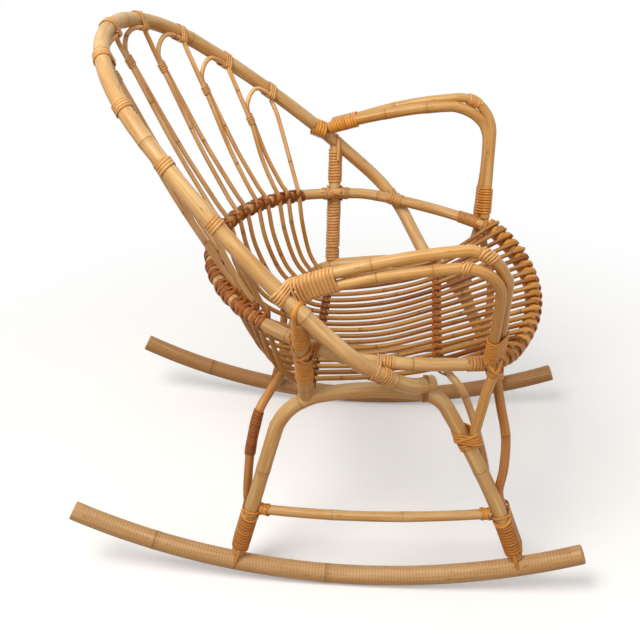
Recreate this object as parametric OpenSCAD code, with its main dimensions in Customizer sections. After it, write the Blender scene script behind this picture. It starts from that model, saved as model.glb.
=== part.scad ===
// Rattan fan back rocking chair, built pole by pole and cane by cane.
// Chair faces -Y, +X is the sitter's left, +Z is up, origin on the floor under the resting point.

/* [Runners] */
// Diameter of each runner pole
runner_d = 32; // [28:1:38]
// Bend radius of the runner centreline
runner_r = 1000; // [900:10:1200]
// Distance between the two runner centrelines
runner_gap = 520; // [500:2:560]
// Reach of a runner behind its resting point
runner_back = 465; // [420:5:500]
// Reach of a runner in front of its resting point
runner_front = 371; // [340:1:400]

/* [Side arches] */
// Diameter of the side arch poles
arch_d = 24; // [20:1:28]
// Distance of the rear legs' foot line behind the resting point
arch_foot_y = 196; // [180:1:220]
// Lean of the rear legs from upright
arch_rear_lean = 16.3; // [10:0.1:20]
// Straight length of the rear legs
arch_rear_leg = 254; // [240:1:270]
// Bend radius of the rear shoulder
arch_rear_r = 100; // [80:2:120]
// Bend radius of the front shoulder
arch_front_r = 50; // [40:1:70]
// Bend radius of the slightly bowed front legs
arch_leg_r = 1600; // [1400:20:2000]
// Inward move of the arch for each millimetre of height
arch_tuck = 0.064; // [0.03:0.002:0.08]

/* [Back hoop] */
// Diameter of the back hoop pole
hoop_d = 24; // [20:1:30]
// Height of the hoop's centreline at the top
hoop_top = 859; // [820:1:900]
// Distance of the hoop's top behind the resting point
hoop_y = 377; // [350:1:400]
// Slope of the hoop's plane above level
hoop_slope = 44; // [40:0.5:50]
// Bend radius across the top of the hoop
hoop_crown_r = 240; // [220:2:260]
// Bend radius of the hoop's long sides
hoop_side_r = 840; // [760:10:920]
// Bend radius of the hoop's lower corners
hoop_turn_r = 150; // [130:2:180]

/* [Seat ring] */
// Diameter of the seat ring pole
ring_d = 20; // [16:1:24]
// Height of the ring's centreline at its front
ring_front_z = 421; // [400:1:440]
// Reach of the ring in front of the resting point
ring_front_y = 284; // [260:1:300]
// Slope of the ring's plane above level
ring_slope = 8.9; // [6:0.1:12]
// Bend radius of the ring's front
ring_front_r = 440; // [380:5:480]
// Bend radius of the ring's front corners
ring_corner_r = 100; // [80:2:120]
// Bend radius of the ring's sides
ring_side_r = 590; // [540:1:640]

/* [Fan canes] */
// Diameter of the fan canes
cane_d = 8; // [6:0.5:10]
// Spacing of the loops along the hoop
loop_pitch = 104.5; // [96:0.5:108]
// Drop from the hoop to the tie of two loops
tie_drop = 61; // [50:1:75]

/* [Seat] */
// Distance of the rear seat bar behind the resting point
rear_bar_y = 70; // [50:1:90]
// Height of the canes over the middle of the rear bar
rear_bar_z = 342; // [320:1:360]
// Rise of the rear bar at the outer canes
rear_bar_rise = 6; // [0:1:20]
// Distance of the front seat bar in front of the resting point
front_bar_y = 128; // [110:1:150]
// Height of the canes over the middle of the front bar
front_bar_z = 380; // [365:1:400]
// Diameter of the seat bars
bar_d = 11; // [9:1:14]

/* [Arms] */
// Diameter of the outer arm poles
arm_d = 17; // [15:1:20]
// Distance of an arm from the middle of the chair
arm_x = 303; // [290:1:320]
// Height of the arm where it leaves the hoop
arm_rear_z = 604; // [580:1:620]
// Bend radius at the front of the arm
arm_bend_r = 60; // [50:1:75]
// Length of the arm's straight drop to the ring
arm_drop = 150; // [130:1:160]

/* [Posts and stretchers] */
// Diameter of the post poles
post_d = 23; // [18:1:26]
// Diameter of the side stretchers
stretcher_d = 17; // [14:1:20]
// Height of the side stretchers at the rear legs
stretcher_rear_z = 145; // [130:1:170]
// Height of the side stretchers at the front legs
stretcher_fore_z = 158; // [130:1:170]
// Bend radius of the gently sagging side stretchers
stretcher_r = 1400; // [1200:20:2000]
// Diameter of the cross arch legs and braces
brace_d = 15; // [12:1:18]

/* [Hidden] */
$fn = 48;
// Clearance left between pieces that rest on each other
seat = 0.3;
// Thickness of the wrapping cane
wrap_t = 2;
// Width of the wrapping cane
wrap_w = 5;
// Distance between neighbouring turns of a wrap
wrap_pitch = 5.8;

function unit(v) = v / norm(v);
function mix(a, b, t) = a + (b - a) * t;
function last(v) = v[len(v) - 1];
function backwards(v) = [for (i = [len(v) - 1:-1:0]) v[i]];
// A line that ends in the middle plane, carried on to the other side
function mirrored(v) = concat(v, [for (i = [len(v) - 2:-1:0]) [-v[i][0], v[i][1], v[i][2]]]);

// Points along straight lines and arcs in one plane: [along, across, heading]
// A step is [bend radius, turn, count], or [0, length, count] for a straight line
function stride(p, s, t) = s[0] == 0
  ? [p[0] + s[1] * t * cos(p[2]), p[1] + s[1] * t * sin(p[2]), p[2]]
  : [p[0] + s[0] * (sin(p[2] + s[1] * t) - sin(p[2])),
     p[1] + s[0] * (cos(p[2]) - cos(p[2] + s[1] * t)), p[2] + s[1] * t];
function trail(p, steps, i = 0) = i >= len(steps) ? [p]
  : concat([for (k = [0:steps[i][2] - 1]) stride(p, steps[i], k / steps[i][2])],
      trail(stride(p, steps[i], 1), steps, i + 1));

// Smooth curve through hand chosen points
function pull(a, b, c, d, t) = 0.5 * (2 * b + (c - a) * t + (2 * a - 5 * b + 4 * c - d) * t * t
  + (3 * b - a - 3 * c + d) * t * t * t);
function at(p, i) = p[max(0, min(len(p) - 1, i))];
function smooth(p, n) = concat([for (i = [0:len(p) - 2]) for (k = [0:n - 1])
  pull(i == 0 ? 2 * p[0] - p[1] : p[i - 1], p[i], p[i + 1],
    i + 2 < len(p) ? p[i + 2] : 2 * p[i + 1] - p[i], k / n)], [last(p)]);

// Point, and direction, where a line first passes the value v of coordinate c
function span_of(p, c, v) = [for (k = [0:len(p) - 2]) if ((p[k][c] - v) * (p[k + 1][c] - v) <= 0) k][0];
function spot_at(p, c, v) = let (k = span_of(p, c, v)) mix(p[k], p[k + 1], (v - p[k][c]) / (p[k + 1][c] - p[k][c]));
function run_at(p, c, v) = let (k = span_of(p, c, v)) unit(p[k + 1] - p[k]);

// Round pole along a line of points
function way(p, i) = unit(at(p, i + 1) - at(p, i - 1));
function sideways(n, t) = unit(n - (n * t) * t);
function frames(p, n) = [for (i = 0, m = sideways(n, way(p, 0)); i < len(p);
  m = sideways(m, way(p, min(i + 1, len(p) - 1))), i = i + 1) m];
module tube(p, thick, sides, n) {
  f = frames(p, n);
  m = len(p);
  pts = [for (i = [0:m - 1]) for (k = [0:sides - 1])
    p[i] + thick / 2 * (f[i] * cos(360 * k / sides) + cross(way(p, i), f[i]) * sin(360 * k / sides))];
  faces = concat([[for (k = [0:sides - 1]) k]],
    [for (i = [0:m - 2]) for (k = [0:sides - 1])
      [i * sides + k, (i + 1) * sides + k, (i + 1) * sides + (k + 1) % sides, i * sides + (k + 1) % sides]],
    [[for (k = [0:sides - 1]) (m - 1) * sides + sides - 1 - k]]);
  polyhedron(pts, faces, convexity = 6);
}
// Closed pole in one plane, around the direction n
module loop_tube(p, thick, sides, n) {
  m = len(p);
  function ahead(i) = unit(p[(i + 1) % m] - p[(i + m - 1) % m]);
  pts = [for (i = [0:m - 1]) for (k = [0:sides - 1])
    p[i] + thick / 2 * (n * cos(360 * k / sides) + cross(ahead(i), n) * sin(360 * k / sides))];
  faces = [for (i = [0:m - 1]) for (k = [0:sides - 1])
    [i * sides + k, ((i + 1) % m) * sides + k, ((i + 1) % m) * sides + (k + 1) % sides,
     i * sides + (k + 1) % sides]];
  polyhedron(pts, faces, convexity = 8);
}

// Unbroken wrapping cane around one or two round poles, standing on z = 0
// rounds is a list of [x, y, radius]
function reach(r, q) = r[0] * cos(q) + r[1] * sin(q) + r[2];
function outmost(rounds, q) = len(rounds) < 2 || reach(rounds[0], q) >= reach(rounds[1], q)
  ? rounds[0] : rounds[1];
function winding(rounds, turns, n) = [for (i = [0:turns * n])
  let (q = 360 * i / n, r = outmost(rounds, q), w = (r[2] + seat) / cos(180 / n))
  [r[0] + w * cos(q), r[1] + w * sin(q), i / n * wrap_pitch, q]];
module wrap(rounds, turns, n) {
  c = winding(rounds, turns, n);
  m = len(c);
  pts = [for (p = c) for (k = [[0, 0], [wrap_t, 0], [wrap_t, wrap_w], [0, wrap_w]])
    [p[0] + k[0] * cos(p[3]), p[1] + k[0] * sin(p[3]), p[2] + k[1]]];
  faces = concat([[3, 2, 1, 0]],
    [for (i = [0:m - 2]) for (k = [0:3])
      [i * 4 + k, i * 4 + (k + 1) % 4, (i + 1) * 4 + (k + 1) % 4, (i + 1) * 4 + k]],
    [[(m - 1) * 4, (m - 1) * 4 + 1, (m - 1) * 4 + 2, (m - 1) * 4 + 3]]);
  polyhedron(pts, faces, convexity = 10);
}
echo(wrap_gap = wrap_pitch - wrap_w);

// Turn the z axis onto the direction v
module aim(v) rotate([0, acos(v[2] / norm(v)), atan2(v[1], v[0])]) children();
module both() {
  children();
  mirror([1, 0, 0]) children();
}
module rod(a, b, thick) translate(a) aim(b - a) cylinder(h = norm(b - a), d = thick);

// Back hoop: arcs in a sloping plane
hoop_start = [0, 0, 0];
hoop_steps = [[hoop_crown_r, 60, 10], [hoop_side_r, 28, 7], [hoop_turn_r, 16, 2]];
// Lower end, where the pole runs in along the ring and levels out on the side arch
hoop_tail = [[308, -33, 463], [301, -48, 449], [290, -64, 433], [276, -81, 417], [260, -97, 405],
  [247, -109, 399], [238, -122, 398.5]];
crown_len = hoop_crown_r * PI / 3;
function on_hoop(p) = [p[0], hoop_y - p[1] * cos(hoop_slope), hoop_top - p[1] * sin(hoop_slope)];
function hoop_flat(s) = s < crown_len ? stride(hoop_start, [hoop_crown_r, s * 180 / PI / hoop_crown_r], 1)
  : stride(stride(hoop_start, [hoop_crown_r, 60], 1),
      [hoop_side_r, (s - crown_len) * 180 / PI / hoop_side_r], 1);
// Point at distance s along the hoop from its top, moved towards the middle by inset
function hoop_at(s, inset) = let (p = hoop_flat(abs(s)),
  q = [p[0] - inset * sin(p[2]), p[1] + inset * cos(p[2])])
  on_hoop([sign(s) * q[0], q[1]]);
hoop_half = concat([for (p = trail(hoop_start, hoop_steps)) on_hoop(p)], hoop_tail);

// Seat ring: arcs in a gently sloping plane, closed by the last one
ring_fore_steps = [[ring_front_r, 26, 8], [ring_corner_r, 42, 7], [ring_side_r, 18, 6]];
ring_shoulder_r = 260;
ring_rear_steps = [[100, 23, 4], [500, 10, 3], [ring_shoulder_r, 27, 6]];
ring_turn = 34;
ring_fore_end = last(trail([0, 0, 0], ring_fore_steps));
ring_rear_end = last(trail(ring_fore_end, ring_rear_steps));
ring_back_r = ring_rear_end[0] / sin(ring_turn);
ring_half = trail(ring_fore_end, concat(ring_rear_steps, [[ring_back_r, ring_turn, 7]]));
ring_all = concat(trail([0, 0, 0], ring_fore_steps), [for (i = [1:len(ring_half) - 1]) ring_half[i]]);
ring_depth = last(ring_all)[1];
back_len = ring_back_r * ring_turn * PI / 180;
function on_ring(p) = [p[0], -ring_front_y + p[1] * cos(ring_slope), ring_front_z + p[1] * sin(ring_slope)];
// Point at distance s along the ring from its rear middle
function ring_flat(s) = s < back_len
  ? stride([0, 0, 0], [ring_back_r, s * 180 / PI / ring_back_r], 1)
  : stride(stride([0, 0, 0], [ring_back_r, ring_turn], 1), [ring_shoulder_r, (s - back_len) * 180 / PI / ring_shoulder_r], 1);
function ring_back(s) = let (p = ring_flat(abs(s))) on_ring([sign(s) * p[0], ring_depth - p[1]]);
function ring_dir(s) = unit(ring_back(s + 1) - ring_back(s - 1));
// Point at distance s along the ring from its front middle
front_len = ring_front_r * 26 * PI / 180;
function ring_fore(s) = let (p = abs(s) < front_len
    ? stride([0, 0, 0], [ring_front_r, abs(s) * 180 / PI / ring_front_r], 1)
    : stride(stride([0, 0, 0], [ring_front_r, 26], 1),
        [ring_corner_r, (abs(s) - front_len) * 180 / PI / ring_corner_r], 1))
  on_ring([sign(s) * p[0], p[1]]);
ring_up = [0, -sin(ring_slope), cos(ring_slope)];
ring_line = [for (p = ring_all) on_ring(p)];

// Side arch: lines and arcs in an upright plane that leans inwards
function on_arch(p) = [runner_gap / 2 - arch_tuck * p[0], -p[1], p[0]];
arch_steps = [[0, arch_rear_leg, 2], [arch_rear_r, 58.7, 7], [400, 18, 3], [600, 3, 1], [arch_front_r, 55, 6],
  [arch_leg_r, 11, 4]];
foot_rise = 13;
arch_start = [40 + foot_rise, foot_rise * tan(arch_rear_lean) - arch_foot_y, arch_rear_lean];
arch_line = [for (p = trail(arch_start, arch_steps)) on_arch(p)];

// Arms: a long shallow arc, a tight bend and a drop that leans inwards
arm_start = [arm_rear_z, -91, 72.5];
arm_flat = trail(arm_start, [[1130, 12.8, 4], [arm_bend_r, 97, 8], [0, arm_drop - 4, 3]]);
arm_under_flat = trail([arm_rear_z - 14, -77, 73.8], [[1100, 11.8, 4], [arm_bend_r - 3, 96.5, 8], [0, arm_drop - 20, 3]]);
// The upper pole drifts inwards by drift, and a drop starts at height from with its own lean
function arm_place(p, drift, from, lean) = [arm_x - drift * max(0, min(1, (p[1] + 91) / 250))
  - lean * (p[2] > 90 ? max(0, from - p[0]) : 0), -p[1], p[0]];
arm_outer_line = [for (p = arm_flat) arm_place(p, 7, 648, 0.32)];
arm_tail = [[252.5, -211, 432], [252, -208, 400], [252, -202, 360], [255, -198, 325], [258, -196, 286]];
arm_inner_line = concat([for (p = arm_under_flat) arm_place(p, 0, 628, 0.275)], arm_tail);

// Cross arches and braces, as far as the middle or the top
leg_foot = arch_line[0];
leg_up = unit(arch_line[1] - arch_line[0]);
fore_foot = last(arch_line);
fore_up = unit(arch_line[len(arch_line) - 2] - fore_foot);
side_gap = arch_d / 2 + brace_d / 2 + seat;
function square_to(v, axis) = unit(v - (v * axis) * axis);
rear_side = square_to([-0.86, 0.5, 0], leg_up);
fore_side = square_to([-0.84, -0.54, 0], fore_up);
rear_cross_half = [leg_foot + 8 * leg_up + side_gap * rear_side, leg_foot + 90 * leg_up + side_gap * rear_side,
  leg_foot + 180 * leg_up + side_gap * rear_side + [-2, 9, 0], [224, 162, 280], [187, 146, 317], [130, 120, 331],
  [65, 110, 331], [0, 108, 330]];
fore_cross_half = [[231, -235, 150], [228, -216, 195], [221, -204, 250], [210, -188, 305], [190, -168, 350],
  [165, -146, 366], [125, -131, 369.5], [60, -front_bar_y, 370], [0, -front_bar_y, 370]];
brace_line = [fore_foot + 8 * fore_up + side_gap * fore_side, fore_foot + 80 * fore_up + side_gap * fore_side,
  [237, -243, 190], [238, -234, 235], [238, -226, 296], [233, -218, 369], [226, -213, 419]];

// Fan: each loop hangs under the hoop, crosses inside the ring and runs on as two seat canes
leg_n = 17;
hang = hoop_d / 2 + cane_d / 2 + seat;
cross_in = ring_d / 2 + cane_d / 2 + seat + 0.5;
// Distance of each tied pair along the ring from its rear middle, and half the gap of the pair
pair_at = [41, 106, 168, 222];
pair_half = [14.5, 14, 12.5, 10.5];
outer_at = 258;
// Position of cane k along the rear of the ring, k from 0 to 17
function cane_side(m) = m == 0 ? pair_at[0] - pair_half[0] : m == 8 ? outer_at
  : let (i = floor((m - 1) / 2)) (m % 2 == 1 ? pair_at[i] + pair_half[i] : pair_at[i + 1] - pair_half[i + 1]);
function cane_at(k) = k > 8 ? cane_side(k - 9) : -cane_side(8 - k);
function across(k) = (k - 8.5) / 8.5;
function cross_pt(k) = let (q = ring_back(cane_at(k)), c = square_to([-q[0] * 0.35, -205, 143], ring_dir(cane_at(k))))
  q + (cross_in + 1.4 * pow(across(k), 4)) * c;
function bar_pt(k) = [19.8 * (k - 8.5), rear_bar_y, rear_bar_z + rear_bar_rise * pow(across(k), 2)];
function mid_pt(k) = [20.4 * (k - 8.5), -30, rear_bar_z + 6 + 12 * pow(across(k), 2)];
function front_pt(k) = [21 * (k - 8.5), -front_bar_y, front_bar_z + 4 * pow(across(k), 2)];
// Canes bend over the ring's edge wrap, from lead_tilt behind its top to end_tilt in front of it
lead_tilt = -32;
end_tilt = 14;
edge_in = ring_d / 2 + wrap_t + cane_d / 2 + 2 * seat + 0.6;
function over_ring(k, tilt) = let (s = 25.5 * (k - 8.5),
    out = cross(unit(ring_fore(s + 1) - ring_fore(s - 1)), ring_up))
  ring_fore(s) + edge_in * (cos(tilt) * ring_up + sin(tilt) * out);
// Tie of the loops either side of pair i
function tie_mid(i) = let (h = hoop_at((i - 3.5) * loop_pitch, 0)) h + [-0.22 * h[0], -10, -tie_drop];
// Outer legs of the two end loops hang on their own
edge_hang = [261, 168, 646];
edge_mid = [250, 158, 598];
function sided(s, p) = [s * p[0], p[1], p[2]];
function leg(k, j) = let (s = k % 2 == 0 ? -1 : 1, i = s < 0 ? j - 1 : j, q = cross_pt(k),
    b = bar_pt(k), edge = k == 0 || k == leg_n, apex = hoop_at((j - 4) * loop_pitch, hang),
    t = edge ? sided(s, edge_mid) : tie_mid(i) - [s * (cane_d / 2 + seat / 2), 0, 0])
  [hoop_at(((j - 4) * loop_pitch + s * 8), hang + 1.2),
   edge ? hoop_at((j - 4 + s * 0.16) * loop_pitch, hang + 5) : hoop_at((j - 4 + s * 0.26) * loop_pitch, hang + 9),
   edge ? sided(s, edge_hang) : mix(t, apex, 0.16) + [0, 0, 22],
   t, mix(t, q, 0.5) + [0, edge ? 1 : 15, edge ? 0 : -5], q,
   [mix(q[0], b[0], 0.15), mix(q[1], b[1], 0.1), mix(q[2], b[2], 0.4)],
   [mix(q[0], b[0], 0.35), mix(q[1], b[1], 0.32), mix(q[2], b[2], 0.78)],
   [mix(q[0], b[0], 0.65), mix(q[1], b[1], 0.66), mix(q[2], b[2], 0.955)],
   b, mid_pt(k), front_pt(k), over_ring(k, lead_tilt), over_ring(k, end_tilt)];
function loop_line(j) = smooth(concat(backwards(leg(2 * j, j)), leg(2 * j + 1, j)), 2);

// One tie round two poles side by side: centres a and b, radii ra and rb, across the direction axis
function spin_of(axis, x) = let (az = atan2(axis[1], axis[0]), el = acos(axis[2] / norm(axis)),
    u = x[0] * cos(az) + x[1] * sin(az), v = x[1] * cos(az) - x[0] * sin(az))
  atan2(v, u * cos(el) - x[2] * sin(el));
module capsule(ra, rb, gap) {
  lift = asin((ra - rb) / gap);
  circle(ra);
  translate([gap, 0]) circle(rb);
  polygon([[ra * sin(lift), ra * cos(lift)], [gap + rb * sin(lift), rb * cos(lift)],
    [gap + rb * sin(lift), -rb * cos(lift)], [ra * sin(lift), -ra * cos(lift)]]);
}
module tie(a, ra, b, rb, axis, width, slack = 0) {
  x = square_to(b - a, unit(axis));
  gap = (b - a) * x;
  in = seat + slack;
  translate(a) aim(axis) rotate([0, 0, spin_of(axis, x)]) translate([0, 0, -width / 2])
    linear_extrude(width) difference() {
      capsule(ra + in + wrap_t, rb + in + wrap_t, gap);
      capsule(ra + in, rb + in, gap);
    }
}
module collar(p, axis, thick, width) translate(p) aim(axis) translate([0, 0, -width / 2]) difference() {
  cylinder(h = width, d = thick + 2 * (seat + wrap_t));
  translate([0, 0, -1]) cylinder(h = width + 2, d = thick + 2 * seat);
}
// Hollow sleeve round a pole that follows the line p
module sleeve(p, inner, outer, sides, n) {
  f = frames(p, n);
  m = len(p);
  ring = 2 * sides;
  function spot(i, k, r) = p[i] + r * (f[i] * cos(360 * k / sides) + cross(way(p, i), f[i]) * sin(360 * k / sides));
  pts = [for (i = [0:m - 1]) for (k = [0:ring - 1]) k < sides ? spot(i, k, outer) : spot(i, k - sides, inner)];
  function next(k) = (k + 1) % sides;
  faces = concat(
    [for (i = [0:m - 2]) for (k = [0:sides - 1])
      [i * ring + k, (i + 1) * ring + k, (i + 1) * ring + next(k), i * ring + next(k)]],
    [for (i = [0:m - 2]) for (k = [0:sides - 1])
      [i * ring + sides + k, i * ring + sides + next(k), (i + 1) * ring + sides + next(k), (i + 1) * ring + sides + k]],
    [for (k = [0:sides - 1]) [k, next(k), sides + next(k), sides + k]],
    [for (k = [0:sides - 1]) [(m - 1) * ring + k, (m - 1) * ring + sides + k,
      (m - 1) * ring + sides + next(k), (m - 1) * ring + next(k)]]);
  polyhedron(pts, faces, convexity = 8);
}

module runner() color("burlywood") translate([runner_gap / 2, 0, runner_r + runner_d / 2])
  rotate([0, 90, 0]) rotate([0, 0, -asin(runner_front / runner_r)])
    rotate_extrude(angle = asin(runner_front / runner_r) + asin(runner_back / runner_r), $fn = 360)
      translate([runner_r, 0]) circle(d = runner_d);
module side_arch() color("burlywood") tube(arch_line, arch_d, 10, [1, 0, 0]);
module rear_cross_arch() color("sandybrown")
  tube(smooth(mirrored(rear_cross_half), 2), brace_d, 8, [0, 1, 0]);
// Reddish wraps on the legs of the rear cross arch
cross_wrap_in = (brace_d / 2 + seat) / cos(180 / 8) + 0.3;
module cross_leg_wraps() color("saddlebrown") both()
  sleeve([for (i = [4:6]) smooth(mirrored(rear_cross_half), 2)[i]],
    cross_wrap_in, cross_wrap_in + wrap_t, 8, [0, 1, 0]);
fore_cross_line = smooth(mirrored(fore_cross_half), 2);
module front_cross_arch() color("sandybrown") tube(fore_cross_line, bar_d, 8, [0, 1, 0]);
module front_brace() color("sandybrown") tube(smooth(brace_line, 2), brace_d, 8, [1, 0, 0]);
module arm_outer() color("wheat") tube(arm_outer_line, arm_d, 8, [1, 0, 0]);
module arm_inner() color("wheat") tube(arm_inner_line, arm_d - 1, 8, [1, 0, 0]);
module fan_loop(j) color("sandybrown") tube(loop_line(j), cane_d, 6, [0, -1, 0.4]);
module back_hoop() color("burlywood")
  tube(mirrored(backwards(hoop_half)), hoop_d, 12, [0, -sin(hoop_slope), cos(hoop_slope)]);
module seat_ring() color("burlywood") loop_tube(concat([for (p = ring_all) on_ring(p)],
  [for (i = [len(ring_all) - 2:-1:1]) let (p = on_ring(ring_all[i])) [-p[0], p[1], p[2]]]),
  ring_d, 10, ring_up);

// Post between the side arch and the hoop, notched to fit both
post_low = [240, 70, 367];
post_high = [314, 66, 556];
post_dir = unit(post_high - post_low);
module post() color("burlywood") difference() {
  rod(post_low, post_high, post_d);
  cut_rod([arch_x(353), 100, 353], [arch_x(375), 40, 375], arch_d + 2 * seat);
  cut_rod(spot_at(hoop_half, 1, 90), spot_at(hoop_half, 1, 42), hoop_d + 2 * seat + 1);
  cut_rod(spot_at(ring_line, 1, 82), spot_at(ring_line, 1, 48), ring_d + 2 * seat + 1);
}
function arch_x(z) = runner_gap / 2 - arch_tuck * z;
module cut_rod(a, b, thick) rod(a - 20 * unit(b - a), b + 20 * unit(b - a), thick);
module post_wrap() color("peru") {
  stand_wrap(post_low + 26 * post_dir, post_dir, [[0, 0, post_d / 2]], 11, 0);
  stand_wrap(post_low + 138 * post_dir, post_dir, [[0, 0, post_d / 2]], 6, 0);
}

// Stretcher between the legs of one side arch, a shallow arc notched against both
stretch_x = arch_x((stretcher_rear_z + stretcher_fore_z) / 2);
stretch_rear = [stretch_x, arch_foot_y - (stretcher_rear_z - 40) * tan(arch_rear_lean), stretcher_rear_z];
fore_low = arch_line[len(arch_line) - 3];
fore_next = arch_line[len(arch_line) - 2];
fore_part = (fore_low[2] - stretcher_fore_z) / (fore_low[2] - fore_next[2]);
stretch_fore = [stretch_x, mix(fore_low, fore_next, fore_part)[1], stretcher_fore_z];
stretch_run = stretch_rear - stretch_fore;
stretch_tilt = atan2(stretch_run[2], stretch_run[1]);
stretch_half = asin(norm(stretch_run) / 2 / stretcher_r);
stretch_hub = (stretch_rear + stretch_fore) / 2
  + stretcher_r * cos(stretch_half) * [0, -sin(stretch_tilt), cos(stretch_tilt)];
module stretcher() color("burlywood") difference() {
  translate(stretch_hub) rotate([0, 90, 0]) rotate([0, 0, stretch_tilt - stretch_half])
    rotate_extrude(angle = 2 * stretch_half, $fn = 360) translate([stretcher_r, 0]) circle(d = stretcher_d);
  cut_rod(arch_line[0], arch_line[1], arch_d + 2 * seat);
  cut_rod(fore_low, fore_next, arch_d + 2 * seat);
}
function on_stretcher(t) = let (q = stretch_tilt + stretch_half * (1 - 2 * t))
  stretch_hub + stretcher_r * [0, sin(q), -cos(q)];
module stretcher_ties() color("peru") both() {
  for (t = [0.065, 0.935])
    collar(on_stretcher(t), on_stretcher(t - 0.01) - on_stretcher(t + 0.01), stretcher_d, 9);
}

// Wrap of an unbroken cane that starts at p and climbs along axis
module stand_wrap(p, axis, rounds, turns, start) translate(p) aim(axis)
  rotate([0, 0, start]) wrap(rounds, turns, 8);
module foot_wrap_rear() color("peru") stand_wrap(leg_foot + 12 * leg_up, leg_up,
  [[0, 0, arch_d / 2 + 0.5], [side_gap, 0, brace_d / 2 + 0.5]], 12, spin_of(leg_up, rear_side));
module foot_wrap_front() color("peru") stand_wrap(fore_foot + 12 * fore_up, fore_up,
  [[0, 0, arch_d / 2 + 0.5], [side_gap, 0, brace_d / 2 + 1.4]], 11, spin_of(fore_up, fore_side));
arm_run = unit(arm_outer_line[1] - arm_outer_line[0]);
arm_side = square_to(arm_inner_line[1] - arm_outer_line[1], arm_run);
arm_pair = (arm_inner_line[0] - arm_outer_line[0]) * arm_side;
module arm_rear_wrap() color("burlywood") stand_wrap(arm_outer_line[0] + 17 * arm_run, arm_run,
  [[0, 0, arm_d / 2 + 1], [arm_pair, 0, arm_d / 2 + 1.6]], 8, spin_of(arm_run, arm_side));

// Ties on the arms
arm_tie_z = 300;
fore_half = [for (p = arch_line) if (p[1] < 0) p];
module arm_front_tie() color("peru") let (a = arm_outer_line[6], b = arm_inner_line[6])
  tie(a, arm_d / 2, b, arm_d / 2, cross(b - a, [1, 0, 0]), 16, 1.6);
module arm_foot_wrap() color("peru") let (a = mix(arm_outer_line[14], arm_outer_line[15], 0.3),
    b = mix(arm_inner_line[14], arm_inner_line[15], 0.5))
  tie(a, arm_d / 2, b, arm_d / 2, arm_outer_line[15] - arm_outer_line[14], 24, 0.8);
module arm_leg_tie() color("peru")
  tie(spot_at(fore_half, 2, arm_tie_z), arch_d / 2, spot_at(arm_inner_line, 2, arm_tie_z), arm_d / 2,
    run_at(fore_half, 2, arm_tie_z) + run_at(arm_tail, 2, arm_tie_z), 11, 2.6);

// Lashings of the fan and the seat
module hoop_bindings() color("peru") for (j = [-4:4]) {
  s = j * loop_pitch;
  tie(hoop_at(s, 0), hoop_d / 2, hoop_at(s, hang), cane_d / 2, hoop_at(s + 1, 0) - hoop_at(s - 1, 0), 14, 1.2);
}
module pair_ties() color("burlywood") for (i = [0:7]) {
  t = tie_mid(i);
  q = (cross_pt(2 * i + 1) + cross_pt(2 * i + 2)) / 2;
  side = [cane_d / 2 + seat / 2, 0, 0];
  tie(t - side, cane_d / 2, t + side, cane_d / 2 + 0.01, q - t, 10, 2);
}
module ring_lashings() color("saddlebrown") for (k = [0:leg_n]) for (d = [-1, 1])
  let (s = cane_at(k) + d * (7 + 1.6 * pow(across(k), 2))) collar(ring_back(s), ring_dir(s), ring_d, 3);
rear_bar_drop = bar_d / 2 + cane_d / 2 + seat;
bar_half = 186;
rear_bar_line = [for (k = [-6:6]) [bar_half * k / 6, rear_bar_y, rear_bar_z - rear_bar_drop
  + rear_bar_rise * pow(bar_half * k / 6 / 168, 2)]];
module rear_seat_bar() color("sandybrown") tube(rear_bar_line, bar_d, 8, [0, 1, 0]);
module bar_lashings() color("saddlebrown") {
  for (k = [0:leg_n - 1]) {
    a = (bar_pt(k) + bar_pt(k + 1)) / 2 - [0, 0, rear_bar_drop];
    collar(a, bar_pt(k + 1) - bar_pt(k), bar_d, 9);
  }
}
module front_bar_lashings() color("saddlebrown") for (k = [2:leg_n - 3]) {
  x = front_pt(k)[0] + 10.5;
  collar(spot_at(fore_cross_line, 0, x), run_at(fore_cross_line, 0, x), bar_d + 0.9, 9);
}
module front_edge_wrap() color("peru") sleeve(mirrored(backwards([for (i = [0:10]) on_ring(ring_all[i])])),
  ring_d / 2 + seat, ring_d / 2 + seat + wrap_t, 10, ring_up);
module hoop_ring_tie() color("burlywood")
  tie(spot_at(hoop_half, 1, -40), hoop_d / 2, spot_at(ring_line, 1, -40), ring_d / 2,
    run_at(hoop_half, 1, -40) - run_at(ring_line, 1, -40), 10, 3);
module hoop_end_tie() color("peru")
  tie(spot_at(hoop_half, 1, -114), hoop_d / 2, spot_at(fore_half, 1, -112), arch_d / 2,
    run_at(hoop_half, 1, -114) + run_at(fore_half, 1, -112), 10, 2.6);

mirror([1, 0, 0]) runner();  // runner_right
runner();  // runner_left
mirror([1, 0, 0]) side_arch();  // side_arch_right
side_arch();  // side_arch_left
rear_cross_arch();
cross_leg_wraps();
front_cross_arch();
mirror([1, 0, 0]) front_brace();  // front_brace_right
front_brace();  // front_brace_left
mirror([1, 0, 0]) stretcher();  // stretcher_right
stretcher();  // stretcher_left
stretcher_ties();
back_hoop();
seat_ring();
mirror([1, 0, 0]) post();  // post_right
post();  // post_left
mirror([1, 0, 0]) post_wrap();  // post_wrap_right
post_wrap();  // post_wrap_left
mirror([1, 0, 0]) arm_outer();  // arm_outer_right
arm_outer();  // arm_outer_left
mirror([1, 0, 0]) arm_inner();  // arm_inner_right
arm_inner();  // arm_inner_left
mirror([1, 0, 0]) arm_rear_wrap();  // arm_rear_wrap_right
arm_rear_wrap();  // arm_rear_wrap_left
both() arm_front_tie();  // arm_front_ties
both() arm_foot_wrap();  // arm_foot_wraps
both() arm_leg_tie();  // arm_leg_ties
mirror([1, 0, 0]) foot_wrap_rear();  // foot_wrap_rear_right
foot_wrap_rear();  // foot_wrap_rear_left
mirror([1, 0, 0]) foot_wrap_front();  // foot_wrap_front_right
foot_wrap_front();  // foot_wrap_front_left
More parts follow.
